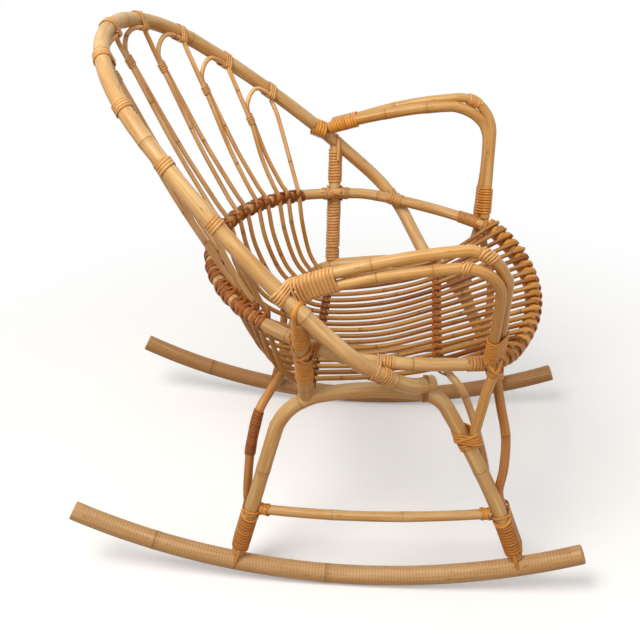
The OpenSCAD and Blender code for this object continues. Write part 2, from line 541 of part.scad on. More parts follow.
fan_loop(0);  // fan_loop_1
fan_loop(1);  // fan_loop_2
fan_loop(2);  // fan_loop_3
fan_loop(3);  // fan_loop_4
fan_loop(4);  // fan_loop_5
fan_loop(5);  // fan_loop_6
fan_loop(6);  // fan_loop_7
fan_loop(7);  // fan_loop_8
fan_loop(8);  // fan_loop_9
rear_seat_bar();
hoop_bindings();
pair_ties();
ring_lashings();
bar_lashings();  // rear_bar_lashings
front_bar_lashings();
front_edge_wrap();
both() hoop_ring_tie();  // hoop_ring_ties
both() hoop_end_tie();  // hoop_end_ties
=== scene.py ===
import math
import random

import bpy
import numpy as np
from mathutils import Matrix, Vector


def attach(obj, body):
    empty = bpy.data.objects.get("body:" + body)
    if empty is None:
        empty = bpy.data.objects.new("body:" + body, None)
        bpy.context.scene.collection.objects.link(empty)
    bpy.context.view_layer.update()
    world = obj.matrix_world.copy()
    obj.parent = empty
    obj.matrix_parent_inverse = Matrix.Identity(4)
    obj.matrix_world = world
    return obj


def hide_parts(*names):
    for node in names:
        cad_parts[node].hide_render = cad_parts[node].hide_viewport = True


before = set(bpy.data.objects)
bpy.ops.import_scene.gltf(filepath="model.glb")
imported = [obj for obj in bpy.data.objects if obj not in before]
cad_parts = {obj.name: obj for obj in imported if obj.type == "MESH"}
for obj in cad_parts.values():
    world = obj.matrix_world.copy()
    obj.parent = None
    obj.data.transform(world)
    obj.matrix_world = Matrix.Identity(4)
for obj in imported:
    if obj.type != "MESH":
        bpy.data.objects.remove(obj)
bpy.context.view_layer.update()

# Everything below is in millimetres until a mesh is made
mm = 0.001
random.seed(41)
bpy.ops.object.select_all(action="DESELECT")


# Lines and frames
def unit(v):
    v = np.array(v, float)
    return v / np.linalg.norm(v)


def mix(a, b, t):
    return np.array(a, float) * (1 - t) + np.array(b, float) * t


def flip(points):
    return np.array(points, float) * [-1, 1, 1]


# One length of a pole from a place and heading: (radius, turn in degrees) or (0, straight length)
def stride(p, step, t):
    radius, turn = step[0], step[1]
    a = math.radians(p[2])
    if radius == 0:  # a straight length
        return (p[0] + turn * t * math.cos(a), p[1] + turn * t * math.sin(a), p[2])
    b = math.radians(p[2] + turn * t)
    return (p[0] + radius * (math.sin(b) - math.sin(a)),
            p[1] + radius * (math.cos(a) - math.cos(b)), p[2] + turn * t)


def trail(p, bends):
    found = []
    for step in bends:
        found += [stride(p, step, k / step[2]) for k in range(step[2])]
        p = stride(p, step, 1)
    return found + [p]


def smooth(points, count=8, closed=False):
    p = np.array(points, float)
    m = len(p)
    if closed:
        q = np.vstack([p[-1:], p, p[:2]])
    else:
        q = np.vstack([2 * p[:1] - p[1:2], p, 2 * p[-1:] - p[-2:-1]])
        m -= 1
    found = []
    for i in range(m):
        a, b, c, d = q[i:i + 4]
        for k in range(count):
            t = k / count
            found.append(0.5 * (2 * b + (c - a) * t + (2 * a - 5 * b + 4 * c - d) * t * t
                                + (3 * b - a - 3 * c + d) * t ** 3))
    return np.array(found if closed else found + [p[-1]])


def lengthsOf(points):
    return np.concatenate([[0], np.cumsum(np.linalg.norm(np.diff(points, axis=0), axis=1))])


def pointAt(points, s):
    along = lengthsOf(points)
    return np.stack([np.interp(s, along, points[:, k]) for k in range(3)], -1)


def dirAt(points, s, step=3.0):
    return unit(pointAt(points, s + step) - pointAt(points, s - step))


def reachWhere(points, axis, value):
    # length along a line where it first passes a coordinate
    along = lengthsOf(points)
    c = points[:, axis] - value
    k = int(np.nonzero(c[:-1] * c[1:] <= 0)[0][0])
    return along[k] + (along[k + 1] - along[k]) * abs(c[k]) / max(abs(c[k]) + abs(c[k + 1]), 1e-9)


def squareTo(v, axis):
    a = unit(axis)
    return unit(np.array(v, float) - np.dot(v, a) * a)


def framesAlong(points, start=(0.2, 0.3, 1)):
    t = np.gradient(points, axis=0)
    t /= np.linalg.norm(t, axis=1)[:, None]
    n = [squareTo(start, t[0])]
    for k in range(1, len(points)):
        n.append(squareTo(n[-1], t[k]))
    n = np.array(n)
    return t, n, np.cross(t, n)


# Strands: one curve per piece, bevelled round and turned into a mesh
edgeAngle = 55  # degrees between faces from which an edge stays sharp
patternStep = {"strand": 700, "letter": 90}  # each strand reads another stretch of its skin's pattern


class Strand:
    def __init__(self, points, radii, outward=None, press=1.0, closed=False, mark=None, tone=None):
        self.points = np.array(points, float)
        count = len(self.points)
        self.radii = np.broadcast_to(np.array(radii, float), (count,)).copy()
        self.outward, self.press, self.closed = outward, press, closed
        self.mark = np.zeros(count) if mark is None else np.array(mark, float)
        self.tone = np.broadcast_to(random.uniform(-1, 1) if tone is None else tone, (count,))


def makePiece(name, strands, sides, nodes, skin, cutSkin=None, shape=None):
    bpy.ops.object.select_all(action="DESELECT")
    bpy.ops.curve.primitive_bezier_curve_add()
    piece = bpy.context.object
    piece.name = piece.data.name = name
    curve = piece.data
    curve.splines.clear()
    curve.dimensions = "3D"
    curve.bevel_depth = mm
    curve.bevel_resolution = (sides - 4) // 2
    for strand in strands:
        spline = curve.splines.new("POLY")
        spline.points.add(len(strand.points) - 1)
        spline.use_cyclic_u = strand.closed
        rows = np.hstack([strand.points * mm, np.ones((len(strand.points), 1))])
        spline.points.foreach_set("co", rows.ravel())
        spline.points.foreach_set("radius", strand.radii)
    bpy.ops.object.convert(target="MESH")
    mesh = piece.data
    co = np.zeros(len(mesh.vertices) * 3)
    mesh.vertices.foreach_get("co", co)
    co = co.reshape(-1, 3) / mm
    straight, mark, tone, paintedLight = [], [], [], []
    first = 0
    for number, strand in enumerate(strands):
        count = len(strand.points)
        block = co[first:first + count * sides].reshape(count, sides, 3)
        off = block - strand.points[:, None]
        size = np.maximum(np.linalg.norm(off, axis=2), 1e-6)
        # painted light: how far each point faces up, which the skins turn into a lit top colour and a shaded
        # under colour
        paintedLight.append((off[:, :, 2] / size).ravel())
        if strand.outward is not None:  # a flat strip lies with its broad side down
            lift = (off * strand.outward[:, None]).sum(2)
            block -= strand.outward[:, None] * (lift * (1 - strand.press))[:, :, None]
        if shape:
            shape(block, strand)
        turn = np.arange(sides) * 2 * math.pi / sides
        along = lengthsOf(strand.points) + patternStep["strand"] * number + patternStep["letter"] * len(name)
        wide = strand.radii[:, None]
        place = [wide * np.cos(turn), wide * np.sin(turn), np.repeat(along[:, None], sides, 1)]
        straight.append(np.stack(place, -1).reshape(-1, 3))
        mark.append(np.repeat(strand.mark, sides))
        tone.append(np.repeat(strand.tone, sides))
        first += count * sides
    mesh.vertices.foreach_set("co", (co * mm).ravel())
    mesh.update()
    for key, kind, field, data in (("straight", "FLOAT_VECTOR", "vector", np.concatenate(straight) * mm),
                                   ("mark", "FLOAT", "value", np.concatenate(mark)),
                                   ("tone", "FLOAT", "value", np.concatenate(tone)),
                                   ("paintedLight", "FLOAT", "value", np.concatenate(paintedLight))):
        layer = mesh.attributes.new(key, kind, "POINT")
        layer.data.foreach_set(field, np.ascontiguousarray(data, dtype=np.float32).ravel())
    bpy.ops.object.mode_set(mode="EDIT")
    bpy.ops.mesh.select_all(action="SELECT")
    bpy.ops.mesh.fill_holes(sides=0)
    bpy.ops.mesh.select_all(action="SELECT")
    bpy.ops.mesh.normals_make_consistent(inside=False)
    bpy.ops.object.mode_set(mode="OBJECT")
    bpy.ops.object.shade_smooth_by_angle(angle=math.radians(edgeAngle))
    mesh.materials.clear()
    mesh.materials.append(skin)
    if cutSkin:
        mesh.materials.append(cutSkin)
        for face in mesh.polygons:
            if len(face.vertices) > 4:
                face.material_index = 1
    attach(piece, "root")
    if nodes:
        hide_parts(*nodes)
    return piece


# A rattan pole: slow waves in its thickness, a swollen ring with a scar at each node
poleForm = {"wave": 0.012, "waveEvery": 61, "ripple": 0.008, "rippleEvery": 23, "swell": 0.045,
            "swellHalf": 5, "shoulder": 0.02, "shoulderHalf": 9, "groove": 0.4, "grooveHalf": 0.7,
            "endRound": 1.1, "endHalf": 0.9, "scarHalf": 0.9, "shade": 0.25, "shadeAt": 3, "shadeHalf": 3.5,
            "least": 0.3}
nodeStations = (-6, -4, -2.4, -1.2, -0.5, 0, 0.5, 1.2, 2.4, 4, 6)
endStations = (0.35, 1.1, 2.2)


def poleStrand(points, thick, nodeAt, gap=7.0, closed=False, scar=1.0, tone=0.0):
    form = poleForm
    line = np.vstack([points, points[:1]]) if closed else points
    along = lengthsOf(line)
    total = along[-1]
    stations = list(np.arange(0, total - (gap * 0.6 if closed else 0), gap))
    for s in nodeAt:
        stations += [s + d for d in nodeStations]
    if not closed:
        stations += list(endStations) + [total - d for d in endStations] + [total]
    stations = np.array(sorted(set(round(s, 2) for s in stations if 0 <= s <= total)))
    stations = stations[np.concatenate([[True], np.diff(stations) > form["least"]])]
    phase = random.uniform(0, 9)
    radii = thick / 2 * (1 + form["wave"] * np.sin(stations / form["waveEvery"] + phase)
                         + form["ripple"] * np.sin(stations / form["rippleEvery"] + 2 * phase))
    mark = np.zeros(len(stations))
    for s in nodeAt:
        d = stations - s
        past = (d - form["shoulderHalf"]) / form["shoulderHalf"]
        radii += thick / 2 * (form["swell"] * np.exp(-(d / form["swellHalf"]) ** 2)
                              + form["shoulder"] * np.exp(-past ** 2))
        radii -= form["groove"] * np.exp(-(d / form["grooveHalf"]) ** 2)
        mark += scar * np.exp(-(d / form["scarHalf"]) ** 2)
        mark += form["shade"] * scar * np.exp(-((d + form["shadeAt"]) / form["shadeHalf"]) ** 2)
    if not closed:
        edge = np.minimum(stations, total - stations)
        radii -= form["endRound"] * np.exp(-edge / form["endHalf"])
    if np.ndim(tone):
        tone = np.interp(stations, np.linspace(0, total, len(tone)), tone)
    return Strand(np.stack([np.interp(stations, along, line[:, k]) for k in range(3)], -1), radii,
                  closed=closed, mark=np.clip(mark, 0, 1), tone=tone)


# Winding cane: a strip's middle line lies this share of its thickness off the pole, in turns and in crosses
bedding = {"turn": 0.42, "cross": 0.45}
stripSides = 8
unevenness = {"height": 0.25, "every": 31}


# Round one pole that may bend, from start to stop along it
def windAlong(line, radius, start, stop, pitch, width, thick, slant=0.0, tone=None, perTurn=20):
    t, n, b = framesAlong(line)
    along = lengthsOf(line)
    count = int((stop - start) / pitch * perTurn)
    a = np.arange(count + 1) * 2 * math.pi / perTurn
    s = start + pitch * np.arange(count + 1) / perTurn + slant * np.sin(a)
    pick = [np.stack([np.interp(s, along, v[:, k]) for k in range(3)], -1) for v in (line, n, b)]
    out = pick[1] * np.cos(a)[:, None] + pick[2] * np.sin(a)[:, None]
    lift = radius + thick * bedding["turn"]
    wave = unevenness["height"] * np.sin(np.arange(count + 1) / unevenness["every"])
    return Strand(pick[0] + out * (lift + wave)[:, None], width / 2, outward=out, press=thick / width,
                  tone=tone)


# Round one pole or more side by side; circles holds (centre, radius) of each
def windPair(circles, axis, turns, pitch, width, thick, slant=0.0, tone=None, phase=0.0, closed=False,
             perTurn=28):
    axis = unit(axis)
    first = np.array(circles[0][0], float)
    x = squareTo(np.array(circles[-1][0]) - first if len(circles) > 1 else (0.3, 0.9, 0.2), axis)
    y = np.cross(axis, x)
    flat = [(np.dot(np.array(c) - first, x), np.dot(np.array(c) - first, y), r + thick * bedding["turn"])
            for c, r in circles]
    middle = sum(f[0] for f in flat) / len(flat)
    count = int(turns * perTurn)
    points, outs = [], []
    for k in range(count + (0 if closed else 1)):
        q = 2 * math.pi * k / perTurn + phase
        c = max(flat, key=lambda f: f[0] * math.cos(q) + f[1] * math.sin(q) + f[2])
        px, py = c[0] + c[2] * math.cos(q), c[1] + c[2] * math.sin(q)
        rise = (k / perTurn - turns / 2) * pitch if not closed else 0
        points.append(first + x * px + y * py + axis * (rise + slant * (px - middle) / 10))
        outs.append(x * math.cos(q) + y * math.sin(q))
    return Strand(points, width / 2, outward=np.array(outs), press=thick / width, tone=tone, closed=closed)


# One loop of a cross tie: round a pole and slanting over what crosses it
def crossLoop(centre, axis, out, radius, bump, reach, width, thick, spread=0.62, tone=None,
              perTurn=36):
    axis = unit(axis)
    out = squareTo(out, axis)
    side = np.cross(axis, out)
    q = np.arange(perTurn) * 2 * math.pi / perTurn
    near = np.minimum(q, 2 * math.pi - q)
    r = radius + thick * bedding["cross"] + bump * np.exp(-(near / spread) ** 2)
    outs = np.cos(q)[:, None] * out + np.sin(q)[:, None] * side
    points = np.array(centre) + outs * r[:, None] + (reach * np.sin(q))[:, None] * axis
    return Strand(points, width / 2, outward=outs, press=thick / width, tone=tone, closed=True)


def crossTie(centre, axis, out, radius, bump, reach, width, thick, spread=0.62, tone=None):
    return [crossLoop(centre, axis, out, radius + lift, bump, sign * reach, width, thick, spread, tone)
            for sign, lift in ((1, 0), (-1, thick * bedding["cross"]))]


# Materials
def toLinear(text):
    parts = [int(text[k:k + 2], 16) / 255 for k in (1, 3, 5)]
    return tuple(c / 12.92 if c <= 0.04045 else ((c + 0.055) / 1.055) ** 2.4 for c in parts) + (1,)


# Settings name a node's options and its sockets; a socket takes a value or another node's output
def addNode(tree, kind, settings=None):
    node = tree.nodes.new(kind)
    for key, value in (settings or {}).items():
        if key == "stops":
            for element, (place, shade) in zip(node.color_ramp.elements, value):
                element.position = place
                element.color = toLinear(shade) if isinstance(shade, str) else (shade, shade, shade, 1)
        elif not isinstance(key, int) and key not in node.inputs:
            setattr(node, key, value)
        elif isinstance(value, bpy.types.NodeSocket):
            tree.links.new(value, node.inputs[key])
        else:
            node.inputs[key].default_value = value
    return node


# Rattan skin, scraped and oiled, fine fibres along the pole; painted light: paler where a side faces up,
# golden where it faces down
gloss = {"IOR": 1.5, "Specular IOR Level": 0.25, "Coat Weight": 0.12, "Coat Roughness": 0.22}
seatDarkening = {"full": 430 * mm, "none": 500 * mm, "shade": "#e2d092"}  # heights above the floor
# width and length in millimetres, then detail and roughness of the noise
grains = {"fibre": (1.111, 38.5, 3.0, 0.6),  # drawn a little coarse so that they show
          "patch": (16.7, 71.4, 2.0, 0.5),  # clouds
          "pore": (4.76, 18.2, 4.0, 0.5),  # dark pores and small stains
          "streak": (4.0, 111, 3.0, 0.5)}  # brown and cream streaks, a hand long


def rattanSkin(look):
    skin = bpy.data.materials.new(look["name"])
    skin.use_nodes = True
    tree = skin.node_tree
    shader = tree.nodes["Principled BSDF"]
    straight, tone, paintedLight, mark = [addNode(tree, "ShaderNodeAttribute", {"attribute_name": key})
                                 for key in ("straight", "tone", "paintedLight", "mark")]
    grain = {}
    for key, (wide, long, detail, rough) in grains.items():
        scale = [round(1 / (size * mm)) for size in (wide, wide, long)]  # whole repeats in a metre
        place = addNode(tree, "ShaderNodeMapping", {"Scale": scale, "Vector": straight.outputs["Vector"]})
        noise = addNode(tree, "ShaderNodeTexNoise", {"Scale": 1.0, "Detail": detail, "Roughness": rough,
                                                     "Vector": place.outputs[0]})
        grain[key] = noise.outputs["Fac"]
    share = {}
    for key, source, stops in (("patch", "patch", [(0.42, 0.0), (0.72, look["patch"])]),
                               ("streak", "streak", [(0.52, 0.0), (0.7, look["patch"])]),
                               ("cream", "streak", [(0.3, 0.5), (0.46, 0.0)]),
                               ("fibre", "fibre", [(0.3, look["fibre"]), (0.62, 1.0)]),
                               ("pore", "pore", [(0.66, 0.0), (0.74, 0.55)])):
        share[key] = addNode(tree, "ShaderNodeValToRGB", {"stops": stops, 0: grain[source]}).outputs[0]
    # the fan canes turn a deeper gold below the seat's height
    place = addNode(tree, "ShaderNodeTexCoord").outputs["Object"]
    height = addNode(tree, "ShaderNodeSeparateXYZ", {0: place}).outputs["Z"]
    for key, source, low, high, atLow, atHigh in (
            ("paintedLight", paintedLight.outputs["Fac"], -0.75, 0.85, 0.0, 1.0),
            ("tone", tone.outputs["Fac"], -0.2, 1.0, 0.0, 1.0),
            ("seatDarkening", height, seatDarkening["full"], seatDarkening["none"], look.get("seatDarkening", 0.0), 0.0),
            ("rough", grain["fibre"], 0.0, 1.0, look["rough"] - 0.07, look["rough"] + 0.12)):
        share[key] = addNode(tree, "ShaderNodeMapRange", {"From Min": low, "From Max": high, "To Min": atLow,
                                                          "To Max": atHigh, "Value": source}).outputs[0]
    share["mark"] = addNode(tree, "ShaderNodeMath", {"operation": "MULTIPLY", 0: mark.outputs["Fac"],
                                                     1: look["mark"]}).outputs[0]
    # colours laid over each other, from the skin up to the scars
    base = toLinear(look["under"])
    # the first layer is painted light: the lit top colour on up-facing sides over the shaded under colour
    for factor, shade, way in ((share["paintedLight"], toLinear(look["top"]), "MIX"),
                               (share["tone"], toLinear(look["deep"]), "MIX"),
                               (share["patch"], toLinear(look["stain"]), "MIX"),
                               (share["streak"], toLinear(look["stain"]), "MIX"),
                               (share["cream"], toLinear(look["top"]), "MIX"),
                               (share["seatDarkening"], toLinear(seatDarkening["shade"]), "MULTIPLY"),
                               (1.0, share["fibre"], "MULTIPLY"),
                               (share["pore"], toLinear(look["scar"]), "MIX"),
                               (share["mark"], toLinear(look["scar"]), "MIX")):
        base = addNode(tree, "ShaderNodeMix", {"data_type": "RGBA", "blend_type": way, 0: factor, 6: base,
                                               7: shade}).outputs[2]
    relief = addNode(tree, "ShaderNodeMath", {"operation": "MULTIPLY_ADD", 0: grain["patch"], 1: 0.6,
                                              2: grain["fibre"]}).outputs[0]
    bump = addNode(tree, "ShaderNodeBump", {"Strength": 0.35, "Distance": 0.5 * mm, "Height": relief})
    tree.links.new(base, shader.inputs["Base Color"])
    tree.links.new(share["rough"], shader.inputs["Roughness"])
    tree.links.new(bump.outputs[0], shader.inputs["Normal"])
    for key, value in gloss.items():
        shader.inputs[key].default_value = value
    return skin


# Sawn rattan: a pale pith full of small dark vessels, dull because it is cut across
sawn = {"pith": "#b18a58", "vessel": "#7d5a35", "wall": "#c9a676", "vesselSize": 1.111, "cloudSize": 7.14,
        "rough": 0.8}


def sawnPith():
    skin = bpy.data.materials.new("sawnRattanPith")
    skin.use_nodes = True
    tree = skin.node_tree
    shader = tree.nodes["Principled BSDF"]
    place = addNode(tree, "ShaderNodeTexCoord").outputs["Object"]
    vesselScale, cloudScale = [round(1 / (sawn[key] * mm)) for key in ("vesselSize", "cloudSize")]
    cells = addNode(tree, "ShaderNodeTexVoronoi", {"Scale": vesselScale, "Vector": place})
    vessels = cells.outputs["Distance"]
    cloud = addNode(tree, "ShaderNodeTexNoise", {"Scale": cloudScale, "Vector": place}).outputs["Fac"]
    stops = [(0.1, sawn["vessel"]), (0.32, sawn["wall"])]
    dots = addNode(tree, "ShaderNodeValToRGB", {"stops": stops, 0: vessels}).outputs[0]
    base = addNode(tree, "ShaderNodeMix", {"data_type": "RGBA", 0: cloud, 6: dots, 7: toLinear(sawn["pith"])})
    tree.links.new(base.outputs[2], shader.inputs["Base Color"])
    bump = addNode(tree, "ShaderNodeBump", {"Strength": 0.5, "Distance": 0.4 * mm, "Height": vessels})
    tree.links.new(bump.outputs[0], shader.inputs["Normal"])
    shader.inputs["Roughness"].default_value = sawn["rough"]
    return skin


# top and under in each look are painted light: top is the lit colour of up-facing sides, under the shaded
# colour of down-facing ones
looks = {
    # peeled and oiled frame pole: honey gold, softly shining
    "pole": {"name": "oiledRattanPole", "top": "#f0cd90", "under": "#c4822c", "deep": "#a25c12",
             "stain": "#c27d34", "scar": "#7f4a1b", "patch": 0.5, "fibre": 0.84, "rough": 0.38, "mark": 0.6},
    # arm pole, darker and smoother where hands rest
    "arm": {"name": "oiledRattanArm", "top": "#eec27c", "under": "#c27c1c", "deep": "#9c5a12",
            "stain": "#c27b2c", "scar": "#784415", "patch": 0.55, "fibre": 0.82, "rough": 0.36, "mark": 0.5},
    # scraped and sawn runner pole: paler, duller, its kerfs darkened with the scar colour
    "runner": {"name": "scrapedRunnerPole", "top": "#deb680", "under": "#a86a1e", "deep": "#96581a",
               "stain": "#b98348", "scar": "#6d4420", "patch": 0.55, "fibre": 0.84, "rough": 0.45,
               "mark": 0.6},
    # thin pole with its bark partly on: browner
    "thin": {"name": "thinRattanPole", "top": "#e0a25c", "under": "#b36514", "deep": "#884812",
             "stain": "#a4611e", "scar": "#5c3210", "patch": 0.6, "fibre": 0.8, "rough": 0.42, "mark": 0.7},
    # whole thin cane, scraped: warm, with strong dark scars, and a deeper gold on the seat
    "cane": {"name": "fanCane", "top": "#f8ca8c", "under": "#cf8834", "deep": "#8a4804",
             "stain": "#bd6e1c", "scar": "#4a260c", "patch": 0.6, "fibre": 0.8, "rough": 0.36, "mark": 0.75,
             "seatDarkening": 1.0},
    # split cane strip, bark side out: orange
    "wrap": {"name": "orangeWrappingCane", "top": "#eeaa4c", "under": "#d47c10", "deep": "#8c440a",
             "stain": "#cc7414", "scar": "#4f2508", "patch": 0.5, "fibre": 0.76, "rough": 0.38, "mark": 0.8},
    # split cane strip, sun-bleached
    "pale": {"name": "paleWrappingCane", "top": "#efba78", "under": "#c87c24", "deep": "#a8621c",
             "stain": "#c48036", "scar": "#603616", "patch": 0.5, "fibre": 0.8, "rough": 0.38, "mark": 0.8},
    # split cane strip, stained to rust
    "rust": {"name": "rustyWrappingCane", "top": "#c26c22", "under": "#8c450a", "deep": "#622b06",
             "stain": "#803e0c", "scar": "#381a07", "patch": 0.6, "fibre": 0.74, "rough": 0.38, "mark": 0.8},
    # split cane strip, stained to dark brown
    "dark": {"name": "stainedWrappingCane", "top": "#94501e", "under": "#66300a", "deep": "#4a2409",
             "stain": "#5c2d0e", "scar": "#2a1205", "patch": 0.6, "fibre": 0.74, "rough": 0.4, "mark": 0.8},
    # split cane strip, reddish and dull
    "red": {"name": "reddishWrappingCane", "top": "#b4662c", "under": "#8c4410", "deep": "#6c340c",
            "stain": "#7c3e12", "scar": "#381a08", "patch": 0.5, "fibre": 0.78, "rough": 0.45, "mark": 0.8},
}
skins = {key: rattanSkin(look) for key, look in looks.items()}
pith = sawnPith()
print("materials ready")

# The chair's lines, as the joiner bends them, from the middle outward
# A bend is its radius, its turn in degrees and its parts
runner = {"thick": 32, "bend": 1000, "side": 260, "back": 465, "front": 371, "nodes": (425, 720),
          "kerfPitch": 5.3, "kerfDepth": 0.55, "kerfHalf": 0.75, "plainEnd": 18, "kerfDarkening": 0.45,
          "kerfFrom": 0.05, "kerfOver": 0.25, "swell": 0.35, "swellHalf": 5, "groove": 0.5, "grooveHalf": 0.9,
          "scarHalf": 1.3, "shade": 0.3, "shadeAt": 4, "shadeHalf": 4, "most": 0.3, "endRound": 1.2,
          "endHalf": 1.0}
hoop = {"thick": 23.6, "round": 12, "top": 859, "back": 377, "slope": 44,
        "bends": [(240, 60, 10), (840, 28, 7), (150, 16, 2)],
        "tail": [(308, -33, 463), (301, -48, 449), (290, -64, 433), (276, -81, 417), (260, -97, 405),
                 (247, -109, 399), (238, -122, 398.5)],
        "tailLeft": [(308, -33, 463), (300, -48, 448), (285, -64, 428), (264, -80, 406), (241, -95, 387),
                     (219, -108, 374), (201, -119, 366)],
        "nodes": [90, 262, 430, 585, 762, 915, 1090, 1265, 1440]}
ring = {"thick": 19.6, "round": 10, "frontZ": 421, "frontY": 284, "slope": 8.9,
        "fore": [(440, 26, 8), (100, 42, 7), (590, 18, 6)],
        "rear": [(100, 23, 4), (500, 10, 3), (260, 27, 6)], "lastTurn": 34,
        "nodes": [60, 240, 455, 640, 800, 1010, 1190, 1380, 1560]}
archLean = 16.3  # degrees
archSlope = math.tan(math.radians(archLean))
footY, footZ = 196, 40  # the foot of the rear leg, inside the runner
arch = {"thick": 23.6, "tuck": 0.064, "start": (53, (53 - footZ) * archSlope - footY, archLean),
        "bends": [(0, 254, 2), (100, 58.7, 7), (400, 18, 3), (600, 3, 1), (50, 55, 6), (1600, 11, 4)],
        "nodes": [178, 330, 520, 690, 815], "flatFrom": 300, "flatOver": 76, "flatBy": [14, 0, 23]}
fan = {"thick": 7.9, "round": 4, "pitch": 104.5, "tieDrop": 61, "pairAt": [41, 106, 168, 222],
       "pairHalf": [14.5, 14, 12.5, 10.5], "outer": 258, "nodeGap": 225, "tieIn": 0.22, "tieFore": 10,
       "facing": (0.35, -205, 143), "crossRise": 1.4}

hoopSlope = math.radians(hoop["slope"])
ringSlope = math.radians(ring["slope"])


def onHoop(p):
    return (p[0], hoop["back"] - p[1] * math.cos(hoopSlope), hoop["top"] - p[1] * math.sin(hoopSlope))


def onRing(p):
    return (p[0], -ring["frontY"] + p[1] * math.cos(ringSlope), ring["frontZ"] + p[1] * math.sin(ringSlope))


def hoopAt(s, inset):
    crown, side = hoop["bends"][0], hoop["bends"][1]
    split = crown[0] * math.radians(crown[1])
    d = abs(s)
    if d < split:
        p = stride((0, 0, 0), (crown[0], math.degrees(d / crown[0])), 1)
    else:
        p = stride(stride((0, 0, 0), crown, 1), (side[0], math.degrees((d - split) / side[0])), 1)
    a = math.radians(p[2])
    q = (p[0] - inset * math.sin(a), p[1] + inset * math.cos(a))
    return np.array(onHoop((math.copysign(q[0], s) if s else 0.0, q[1])))


hoopHalf = np.array([onHoop(p) for p in trail((0, 0, 0), hoop["bends"])] + hoop["tail"])
hoopLine = smooth(np.vstack([flip(hoopHalf[::-1])[:-1], hoopHalf[:-len(hoop["tail"])], hoop["tailLeft"]]))
foreTrail = trail((0, 0, 0), ring["fore"])
rearEnd = trail(foreTrail[-1], ring["rear"])[-1]
backBend = rearEnd[0] / math.sin(math.radians(ring["lastTurn"]))
ringHalf = foreTrail + trail(foreTrail[-1], ring["rear"] + [(backBend, ring["lastTurn"], 7)])[1:]
ringDepth = ringHalf[-1][1]
ringPoints = np.array([onRing(p) for p in ringHalf])
ringLine = smooth(np.vstack([ringPoints, flip(ringPoints[-2:0:-1])]), closed=True)
ringOpen = smooth(ringPoints)
ringUp = np.array([0, -math.sin(ringSlope), math.cos(ringSlope)])
backLength = backBend * math.radians(ring["lastTurn"])
foreLength = ring["fore"][0][0] * math.radians(ring["fore"][0][1])


def ringBack(s):
    d = abs(s)
    side = ring["rear"][-1][0]
    if d < backLength:
        p = stride((0, 0, 0), (backBend, math.degrees(d / backBend)), 1)
    else:
        p = stride((0, 0, 0), (backBend, ring["lastTurn"]), 1)
        p = stride(p, (side, math.degrees((d - backLength) / side)), 1)
    return np.array(onRing((math.copysign(p[0], s), ringDepth - p[1])))


def ringDir(s):
    return unit(ringBack(s + 1) - ringBack(s - 1))


def ringFore(s):
    d = abs(s)
    front, corner = ring["fore"][0], ring["fore"][1]
    if d < foreLength:
        p = stride((0, 0, 0), (front[0], math.degrees(d / front[0])), 1)
    else:
        p = stride(stride((0, 0, 0), front, 1), (corner[0], math.degrees((d - foreLength) / corner[0])), 1)
    return np.array(onRing((math.copysign(p[0], s), p[1])))


def ringForeDir(s):
    return unit(ringFore(s + 1) - ringFore(s - 1))


archPoints = np.array([(runner["side"] - arch["tuck"] * p[0], -p[1], p[0])
                       for p in trail(arch["start"], arch["bends"])])
# The left arch was bent flatter on top
archRise = np.clip((archPoints[:, 2] - arch["flatFrom"]) / arch["flatOver"], 0, 1)[:, None]
archPointsLeft = archPoints - archRise * arch["flatBy"]
legFoot, legUp = archPoints[0], unit(archPoints[1] - archPoints[0])
foreFoot, foreUp = archPoints[-1], unit(archPoints[-2] - archPoints[-1])
foreHalf = archPoints[archPoints[:, 1] < 0]
foreHalfLeft = archPointsLeft[archPointsLeft[:, 1] < 0]

# Arms: the upper pole lies outside, and the lower one runs on down to the arch's front leg
arms = {"x": 303, "driftFrom": 91, "driftOver": 250, "leanFrom": 90}
armUpper = {"thick": 16.8, "nodes": [118, 262], "start": (604, -91, 72.5), "drift": 7, "height": 648,
            "lean": 0.32, "bends": [(1130, 12.8, 4), (60, 97, 8), (0, 146, 3)]}
armLower = {"thick": 15.8, "thickLeft": 19.6, "nodes": [110, 186, 415], "start": (590, -77, 73.8), "drift": 0,
            "height": 628, "lean": 0.275, "bends": [(1100, 11.8, 4), (57, 96.5, 8), (0, 130, 3)],
            "tail": [(252.5, -209.5, 432), (253, -201, 400), (253.5, -193, 355), (252.5, -187.5, 322),
                     (251.5, -187.5, 304), (251, -189, 291)]}


def armPoints(pole):
    found = []
    for p in trail(pole["start"], pole["bends"]):
        drop = pole["lean"] * max(0, pole["height"] - p[0]) if p[2] > arms["leanFrom"] else 0
        drift = pole["drift"] * max(0, min(1, (p[1] + arms["driftFrom"]) / arms["driftOver"]))
        found.append((arms["x"] - drift - drop, -p[1], p[0]))
    return np.array(found + pole.get("tail", []))


# A hand bend: the numbered points of a line, and how far each moves, on x, y and z
def handBend(points, *moves):
    number = np.arange(len(points))
    return np.stack([np.interp(number, at, by) for at, by in moves], 1)


armOuterPoints, armInnerPoints = armPoints(armUpper), armPoints(armLower)
armInnerLine = smooth(armInnerPoints)
# The left arm's lower pole turns in beside the upper one at the bend, and both lie side by side at the rear
turnIn = handBend(armInnerPoints, ([0, 3, 6, 9, 13, 15], [0, -14, -14, -9, -9, -3]),
                  ([5, 9, 13, 15], [0, -8, -8, -2]), ([0, 3, 6, 9], [0, 6, 6, 3]))
besideLower = handBend(armInnerPoints, ([0, 1, 3, 6], [-8, -7, -2, 0]), ([0], [0]),
                       ([0, 1, 3, 6], [4, 5, 4, 0]))
besideUpper = handBend(armOuterPoints, ([0, 1, 2, 4], [14, 14, 9, 0]), ([0, 1], [-24, 0]),
                       ([0, 1, 2, 3, 4], [-8, -15, -8, -3, 0]))
armInnerLeft = smooth(armInnerPoints + turnIn + besideLower)
armOuterLeft = smooth(armOuterPoints + besideUpper)
